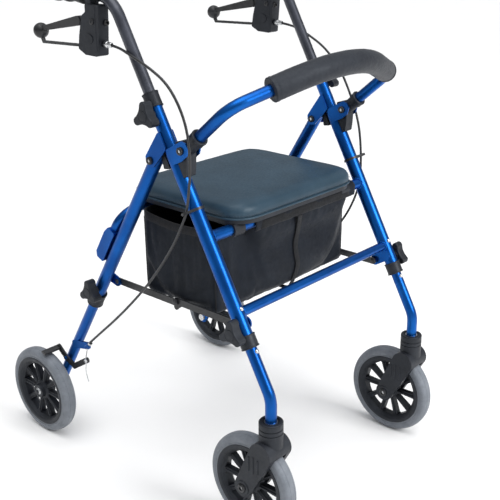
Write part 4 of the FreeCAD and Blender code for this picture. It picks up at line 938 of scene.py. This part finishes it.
def brake_wires():
    """The bare inner wire from each anchor to the brake arm's end, with its clamp and tail."""
    for tag, side in SIDES.items():
        eye = Vector((side * 0.2532, 0.172, 0.203))
        top = Vector((side * 0.2462, 0.1755, 0.2345))
        points = [top, top + Vector((side * 0.0004, -0.0002, -0.006))]
        points += [eye + Vector((side * x, y, z)) for x, y, z in (
            (0, 0, 0.012), (0.0035, 0, 0.002), (0.003, -0.001, -0.010), (0.001, 0.006, -0.030),
            (0.002, -0.004, -0.050))]
        wire = tube(f"brake_wire_{tag}", points, 0.0010, "plated_steel", resolution=3)
        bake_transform(wire)
        out = X_AXIS * side
        socket_bolt(f"wire_clamp_{tag}", eye + out * 0.0015, out, 0.0042, 0.0045, "plated_steel",
                    f"brake_shoe_{tag}")
        away = Vector((0, -0.027, 0.023)).normalized()
        ring(f"anchor_adjuster_{tag}",
             [(0, 0.0026), (0, 0.0042), (0.0012, 0.0046), (0.0058, 0.0046), (0.007, 0.0040),
              (0.007, 0.0026)], Vector((side * 0.246, 0.174, 0.2352)) + away * 0.0085, away,
             f"rear_foot_{tag}", 0.0004, 24, "plated_steel")


# ---- wheels and casters

TYRE_HALF = 0.016
RIM = 0.076
WHEEL = 0.100


def wheel_centre(end, side):
    if end == "front":
        return Vector((side * SIDE_X, -AXLE_Y, AXLE_Z))
    return Vector((side * REAR_WHEEL_X, AXLE_Y, AXLE_Z))


def tyre(end, tag, side):
    """A solid tyre: a domed tread with two fine grooves and a bead line on each wall."""
    half = [(0.0, WHEEL), (0.0048, WHEEL - 0.0003), (0.0054, WHEEL - 0.0014),
            (0.0066, WHEEL - 0.0014), (0.0072, WHEEL - 0.0007), (0.0115, WHEEL - 0.0026),
            (0.0148, WHEEL - 0.0062), (TYRE_HALF, WHEEL - 0.0115),
            (TYRE_HALF - 0.0002, WHEEL - 0.015), (TYRE_HALF - 0.0010, WHEEL - 0.0155),
            (TYRE_HALF - 0.0012, WHEEL - 0.0165), (TYRE_HALF - 0.0004, WHEEL - 0.0172),
            (TYRE_HALF - 0.0008, RIM + 0.003), (0.0142, RIM + 0.0002)]
    profile = [(-a, r) for a, r in reversed(half)] + half[1:]
    body = f"{end}_wheel_{tag}"
    thing = ring(f"{end}_tyre_moulded_{tag}", profile, wheel_centre(end, side), X_AXIS, body,
                 0.0009, 120, "grey_tyre")
    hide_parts(f"{end}_tyre_{tag}")


SPOKES = 10
WEB_HALF = 0.006


def hub_details(end, tag, side):
    """A rim flange and a rib down each spoke on both faces of the hub."""
    centre = wheel_centre(end, side)
    body = f"{end}_wheel_{tag}"
    for face in (-1, 1):
        way = X_AXIS * face
        label = "out" if face == side else "in"
        ring(f"{end}_rim_flange_{label}_{tag}",
             [(0.0130, RIM - 0.0062), (0.0150, RIM - 0.0042), (0.0161, RIM - 0.0012),
              (0.0164, RIM + 0.0038), (0.0158, RIM + 0.0048), (0.0140, RIM + 0.0040),
              (0.0124, RIM - 0.0035)], centre, way, body, 0.0008, 96)
        ribs = bmesh.new()
        for number in range(SPOKES):
            angle = 2 * math.pi * (number + 0.5) / SPOKES
            spoke = Vector((0, math.sin(angle), math.cos(angle)))
            across = way.cross(spoke)
            add_rib(ribs, centre + way * (WEB_HALF - 0.0005), spoke, across, way,
                    0.0225, RIM - 0.0095, 0.0030, 0.0022, 0.0030)
        piece(f"{end}_spoke_ribs_{label}_{tag}", to_mesh("ribs", ribs), "black_plastic", body)
        ring(f"{end}_boss_ring_{label}_{tag}",
             [(0.0160, 0.0112), (0.0179, 0.0112), (0.0179, 0.0146), (0.0170, 0.0157),
              (0.0160, 0.0157)], centre, way, body, 0.0004, 56)


def add_rib(form, origin, along, across, up, start, stop, wide_start, wide_stop, height):
    """A tapering rib with a softened crest, from start to stop along its line."""
    rows = []
    for reach, wide in ((start, wide_start), (stop, wide_stop)):
        spot = origin + along * reach
        rows.append([form.verts.new(spot + across * u + up * v) for u, v in (
            (-wide, 0), (-wide * 0.62, height * 0.72), (-wide * 0.3, height),
            (wide * 0.3, height), (wide * 0.62, height * 0.72), (wide, 0))])
    skin(form, rows)
    cap_ends(form, rows)


def rear_axle_cap(tag, side):
    """The dark cap over the rear axle's outer end."""
    outer = REAR_WHEEL_X + 0.0175
    lens_cap(f"rear_axle_cap_{tag}", (side * (outer + 0.0030), AXLE_Y, AXLE_Z), X_AXIS * side,
             0.0057, 0.0028, "black_plastic", f"rear_foot_{tag}")


FORK_HALF = 0.031
FORK_RIBS = ((-0.011, -0.014, 0.016), (0.0, -0.017, 0.018), (0.011, -0.014, 0.016))


def fork_details(tag, side):
    """The fork's raised ribs, boss rings and bolts."""
    body = f"caster_{tag}"
    for face, label in ((1, "out"), (-1, "in")):
        way = X_AXIS * side * face
        x = side * (SIDE_X + face * FORK_HALF)
        ribs = bmesh.new()
        for offset, start, stop in FORK_RIBS:
            spot = Vector((x, -0.326 + offset, 0.160)) - way * 0.0004
            add_rib(ribs, spot, Z_AXIS, Y_AXIS, way, start, stop, 0.0021, 0.0018, 0.0021)
        piece(f"fork_ribs_{label}_{tag}", to_mesh("ribs", ribs), "black_plastic", body)
        centre = Vector((x, -AXLE_Y, AXLE_Z))
        ring(f"fork_boss_{label}_{tag}",
             [(-0.001, 0.0092), (0.0016, 0.0092), (0.0016, 0.0150), (-0.001, 0.0162)],
             centre, way, body, 0.0006, 48)
        socket_bolt(f"fork_bolt_{label}_{tag}", centre + way * 0.0004, way, 0.0088, 0.0046,
                    "black_steel", body)
    ring(f"fork_crown_ring_{tag}",
         [(-0.0016, 0.0222), (0.0010, 0.0226), (0.0020, 0.0214), (0.0022, 0.0160),
          (-0.0010, 0.0160)], (side * SIDE_X, STEM_Y, CROWN_Z), Z_AXIS, body, 0.0008)


# ---- frame details

LEG_RADIUS = 0.014
BEAD = 0.0016


def saddle_bead(name, side, along, tube_radius):
    """A weld bead where a cross tube meets a front leg."""
    centre = front(0, along)
    across = Vector((0, math.cos(FRONT_LEAN), -math.sin(FRONT_LEAN)))
    form = bmesh.new()
    rings = []
    for angle in turns(84):
        spoke = FRONT_ALONG * math.cos(angle) + across * math.sin(angle)
        off = tube_radius * math.sin(angle)
        reach = SIDE_X - math.sqrt(LEG_RADIUS ** 2 - off ** 2)
        thick = BEAD * (1 + 0.16 * math.sin(angle * 19) + 0.08 * math.sin(angle * 7 + 2))
        spot = centre + spoke * (tube_radius + BEAD * 0.25) + X_AXIS * side * (reach - BEAD * 0.25)
        rings.append([form.verts.new(spot + spoke * thick * math.cos(b)
                                     + X_AXIS * thick * math.sin(b)) for b in turns(8)])
    skin(form, rings, wrap=True)
    return piece(name, to_mesh(name, form), "blue_paint", "frame", sharp=60)


def frame_details():
    """Welds, bolt heads, rivets, leg plugs, spring buttons and collar edges."""
    for tag, side in SIDES.items():
        out = X_AXIS * side
        saddle_bead(f"weld_seat_tube_{tag}", side, SEAT_TUBE_ALONG, 0.011)
        saddle_bead(f"weld_low_tube_{tag}", side, LOW_TUBE_ALONG, 0.0095)
        for label, spot in (("hinge", HINGE), ("backrest", BACKREST_PIVOT)):
            for face, word in ((1, "out"), (-1, "in")):
                centre = Vector((side * (SIDE_X + face * PLATE_OUT), *spot))
                socket_bolt(f"{label}_bolt_{word}_{tag}", centre, out * face, 0.0074, 0.0044,
                            "black_steel", "frame")
        for label, spot, body, inner in (("front", BRACE_FRONT, "front_links", 0.2140),
                                         ("rear", BRACE_REAR, "rear_links", 0.2185)):
            lens_cap(f"{label}_brace_rivet_in_{tag}", (side * (inner + 0.0002), *spot), -out,
                     0.0058, 0.0022, "black_steel", body)
            tab = "frame" if label == "front" else "rear_frame"
            lens_cap(f"{label}_brace_rivet_out_{tag}", (side * TAB_OUT, *spot), out, 0.0058,
                     0.0022, "black_steel", tab)
        lens_cap(f"middle_rivet_in_{tag}", (side * 0.2142, *BRACE_MIDDLE), -out, 0.0055, 0.0020,
                 "black_steel", "front_links")
        lens_cap(f"middle_rivet_out_{tag}", (side * 0.2213, *BRACE_MIDDLE), out, 0.0055, 0.0020,
                 "black_steel", "rear_links")
        lens_cap(f"rear_leg_plug_{tag}", rear(side * SIDE_X, 0.7115), REAR_ALONG, 0.0128, 0.0045,
                 "black_plastic", "rear_frame")
        ahead = front(0, 0, -1) - front(0, 0)
        for label, along, leg_radius, body in (("upper", 0.172, LEG_RADIUS, "frame"),
                                               ("lower", 0.091, 0.0110, f"front_leg_{tag}")):
            lens_cap(f"spring_button_{label}_{tag}",
                     front(side * (SIDE_X - 0.001), along, -leg_radius + 0.0006), ahead, 0.0042,
                     0.0042, "plated_steel", body)
        collar_rings(tag, side)


def collar_rings(tag, side):
    """Rolled edges on the clamp collars."""
    x = side * SIDE_X
    edges = [("front_low", front(x, 0.1014), FRONT_ALONG, 0.0165, "frame"),
             ("front_top", front(x, 0.1236), FRONT_ALONG, 0.0165, "frame"),
             ("socket_low", front(x, 0.5654), FRONT_ALONG, 0.0150, "frame"),
             ("socket_top", front(x, 0.5906), FRONT_ALONG, 0.0150, "frame"),
             ("rear_low", rear(x, 0.2882), REAR_ALONG, 0.0165, "rear_frame"),
             ("rear_top", rear(x, 0.3178), REAR_ALONG, 0.0165, "rear_frame")]
    for label, spot, way, radius, body in edges:
        ring(f"collar_ring_{label}_{tag}",
             [(-0.0016, radius - 0.0005), (-0.0010, radius + 0.0008),
              (0.0010, radius + 0.0008), (0.0016, radius - 0.0005),
              (0.0012, radius - 0.0020), (-0.0012, radius - 0.0020)],
             spot, way, body, 0.0006, 56)


def knob_details():
    """The cap on each clamp knob's face."""
    for tag, side in SIDES.items():
        out = X_AXIS * side
        for label, spot, body in (
                ("handle", front(0, 0.552), f"handle_clamp_{tag}"),
                ("front", front(0, 0.137), f"front_clamp_{tag}"),
                ("rear", rear(0, 0.332), f"rear_clamp_{tag}")):
            face = Vector((side * (SIDE_X + KNOB_OUT - 0.0002), spot.y, spot.z))
            lathe(f"{label}_knob_cap_{tag}",
                  [(0, 0.0112), (0.0010, 0.0112), (0.0014, 0.0100), (0.0006, 0.0092),
                   (0.0010, 0.0040), (0.0012, 0)],
                  face, out, "black_plastic", body, steps=48, rounding=0.0004)


# ---- handles and brakes

def grip(tag, side):
    """A moulded rubber grip: a flange, finger swells and fine rings between them."""
    low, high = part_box(f"grip_{tag}")
    long = high.y - low.y
    profile = [(0, 0.0118), (0, 0.0192), (0.0045, 0.0195), (0.0085, 0.0176)]
    for number in range(25):
        share = number / 24
        along = 0.012 + share * (long - 0.030)
        swell = 0.0169 + 0.0011 * math.cos(share * 2 * math.pi * 3) + 0.0005 * (share - 0.5) ** 2
        profile += [(along, swell), (along + 0.0018, swell - 0.0007),
                    (along + 0.0024, swell - 0.0007)]
    profile += [(long - 0.014, 0.0182), (long - 0.005, 0.0180), (long, 0.0128), (long, 0.0)]
    thing = lathe(f"grip_moulded_{tag}", profile, (side * SIDE_X, low.y, HANDLE_Z), Y_AXIS,
                  "grip_rubber", f"handle_{tag}", steps=72, rounding=0.0004)
    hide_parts(f"grip_{tag}")


def brake_housing_details(tag, side):
    """The housing's seam, plain oval plaque, pivot bolts, clamp screw and cable adjuster."""
    body = f"handle_{tag}"
    for face, word in ((1, "out"), (-1, "in")):
        way = X_AXIS * side * face
        x = side * (HOUSING_X + face * HOUSING_HALF)
        seam = bmesh.new()
        add_rib(seam, Vector((x, 0.0625, 0.9)) - way * 0.0003, Z_AXIS, Y_AXIS, way, -0.025,
                0.054, 0.0012, 0.0012, 0.0010)
        piece(f"housing_seam_{word}_{tag}", to_mesh("seam", seam), "black_plastic", body)
        place = side_place(x, 0.0860, 0.8960, side * face)
        oval = [(0.0150 * math.cos(a), 0.0095 * math.sin(a)) for a in turns(40)]
        prism(f"housing_oval_{word}_{tag}", oval, 0.0022, place, "black_plastic", body,
              bevel=0.0006)
        socket_bolt(f"lever_bolt_{word}_{tag}",
                    Vector((side * (HOUSING_X + face * 0.0118), *LEVER_PIVOT)), way, 0.0056,
                    0.0028, "black_steel", body)
    socket_bolt(f"clamp_screw_{tag}", (side * 0.2365, HOUSING_FRONT, 0.926), -Y_AXIS, 0.0058,
                0.0050, "black_steel", body)
    ring(f"cable_adjuster_{tag}",
         [(0, 0.0033), (0, 0.0058), (0.0015, 0.0062), (0.0075, 0.0062), (0.009, 0.0050),
          (0.018, 0.0046), (0.0195, 0.0033)], (side * 0.241, HOUSING_FRONT, 0.888), -Y_AXIS,
         body, 0.0004, 20, "plated_steel")


# ---- floor, light and camera

CAMERA_PLACE = (-1.2985, -1.2572, 1.1076)
CAMERA_AZIMUTH = math.radians(-49.79)
CAMERA_ELEVATION = math.radians(20.83)
CAMERA_ROLL = math.radians(0.17)
FOCAL_LENGTH = 63.80
FRAMING = (-0.0568, 0.0074)


def camera():
    data = bpy.data.cameras.new("view")
    data.lens = FOCAL_LENGTH
    data.sensor_width = 36
    data.shift_x, data.shift_y = FRAMING
    eye = link("view", data)
    level = math.cos(CAMERA_ELEVATION)
    back = Vector((math.sin(CAMERA_AZIMUTH) * level, -math.cos(CAMERA_AZIMUTH) * level,
                   math.sin(CAMERA_ELEVATION)))
    turn = (-back).to_track_quat("-Z", "Y").to_matrix().to_4x4()
    eye.matrix_world = (Matrix.Translation(CAMERA_PLACE) @ turn
                        @ Matrix.Rotation(CAMERA_ROLL, 4, "Z"))
    bpy.context.scene.camera = eye


def light(name, kind, power, place, aim, **settings):
    data = bpy.data.lights.new(name, kind)
    data.energy = power
    for word, choice in settings.items():
        setattr(data, word, choice)
    way = Vector(aim) - Vector(place)
    link(name, data).matrix_world = (Matrix.Translation(place)
                                     @ way.to_track_quat("-Z", "Y").to_matrix().to_4x4())


def studio():
    scene = bpy.context.scene
    scene.view_settings.view_transform = "Standard"
    world = bpy.data.worlds.new("soft_room")
    scene.world = world
    world.use_nodes = True
    nodes, links = world.node_tree.nodes, world.node_tree.links
    sky = nodes["Background"]
    height = nodes.new("ShaderNodeSeparateXYZ")
    ramp = nodes.new("ShaderNodeValToRGB")
    ramp.color_ramp.elements[0].color = (0.14, 0.145, 0.15, 1)
    ramp.color_ramp.elements[1].color = (0.80, 0.815, 0.835, 1)
    links.new(nodes.new("ShaderNodeTexCoord").outputs["Generated"], height.inputs["Vector"])
    links.new(height.outputs["Z"], ramp.inputs["Fac"])
    links.new(ramp.outputs["Color"], sky.inputs["Color"])
    sky.inputs["Strength"].default_value = 1.0
    light("overhead", "SUN", 1.85, (-0.14, -0.12, 1), (0, 0, 0), angle=math.radians(58))
    light("key", "AREA", 78, (0.45, -3.0, 1.95), (0, 0, 0.45), shape="RECTANGLE", size=1.3,
          size_y=1.7)
    form = bmesh.new()
    bmesh.ops.create_circle(form, cap_ends=True, segments=96, radius=40)
    floor = link("floor", to_mesh("floor", form))
    m = Nodes("pale_floor", Roughness=0.9, Specular_IOR_Level=0.1)
    m.colours(m.noise(3, 2), (0.87, 0.865, 0.86), (0.89, 0.885, 0.88))
    floor.data.materials.append(m.material)
    floor.location.z = -0.0004


# ---- the whole walker

def build():
    dress_frame()
    camera()
    studio()
    brake_cables()
    brake_wires()
    seat_pad()
    backrest_pad()
    backrest_fittings()
    storage_bag()
    pull_strap()
    frame_details()
    knob_details()
    for tag, side in SIDES.items():
        for end in ("front", "rear"):
            tyre(end, tag, side)
            hub_details(end, tag, side)
        rear_axle_cap(tag, side)
        fork_details(tag, side)
        grip(tag, side)
        brake_housing_details(tag, side)


build()
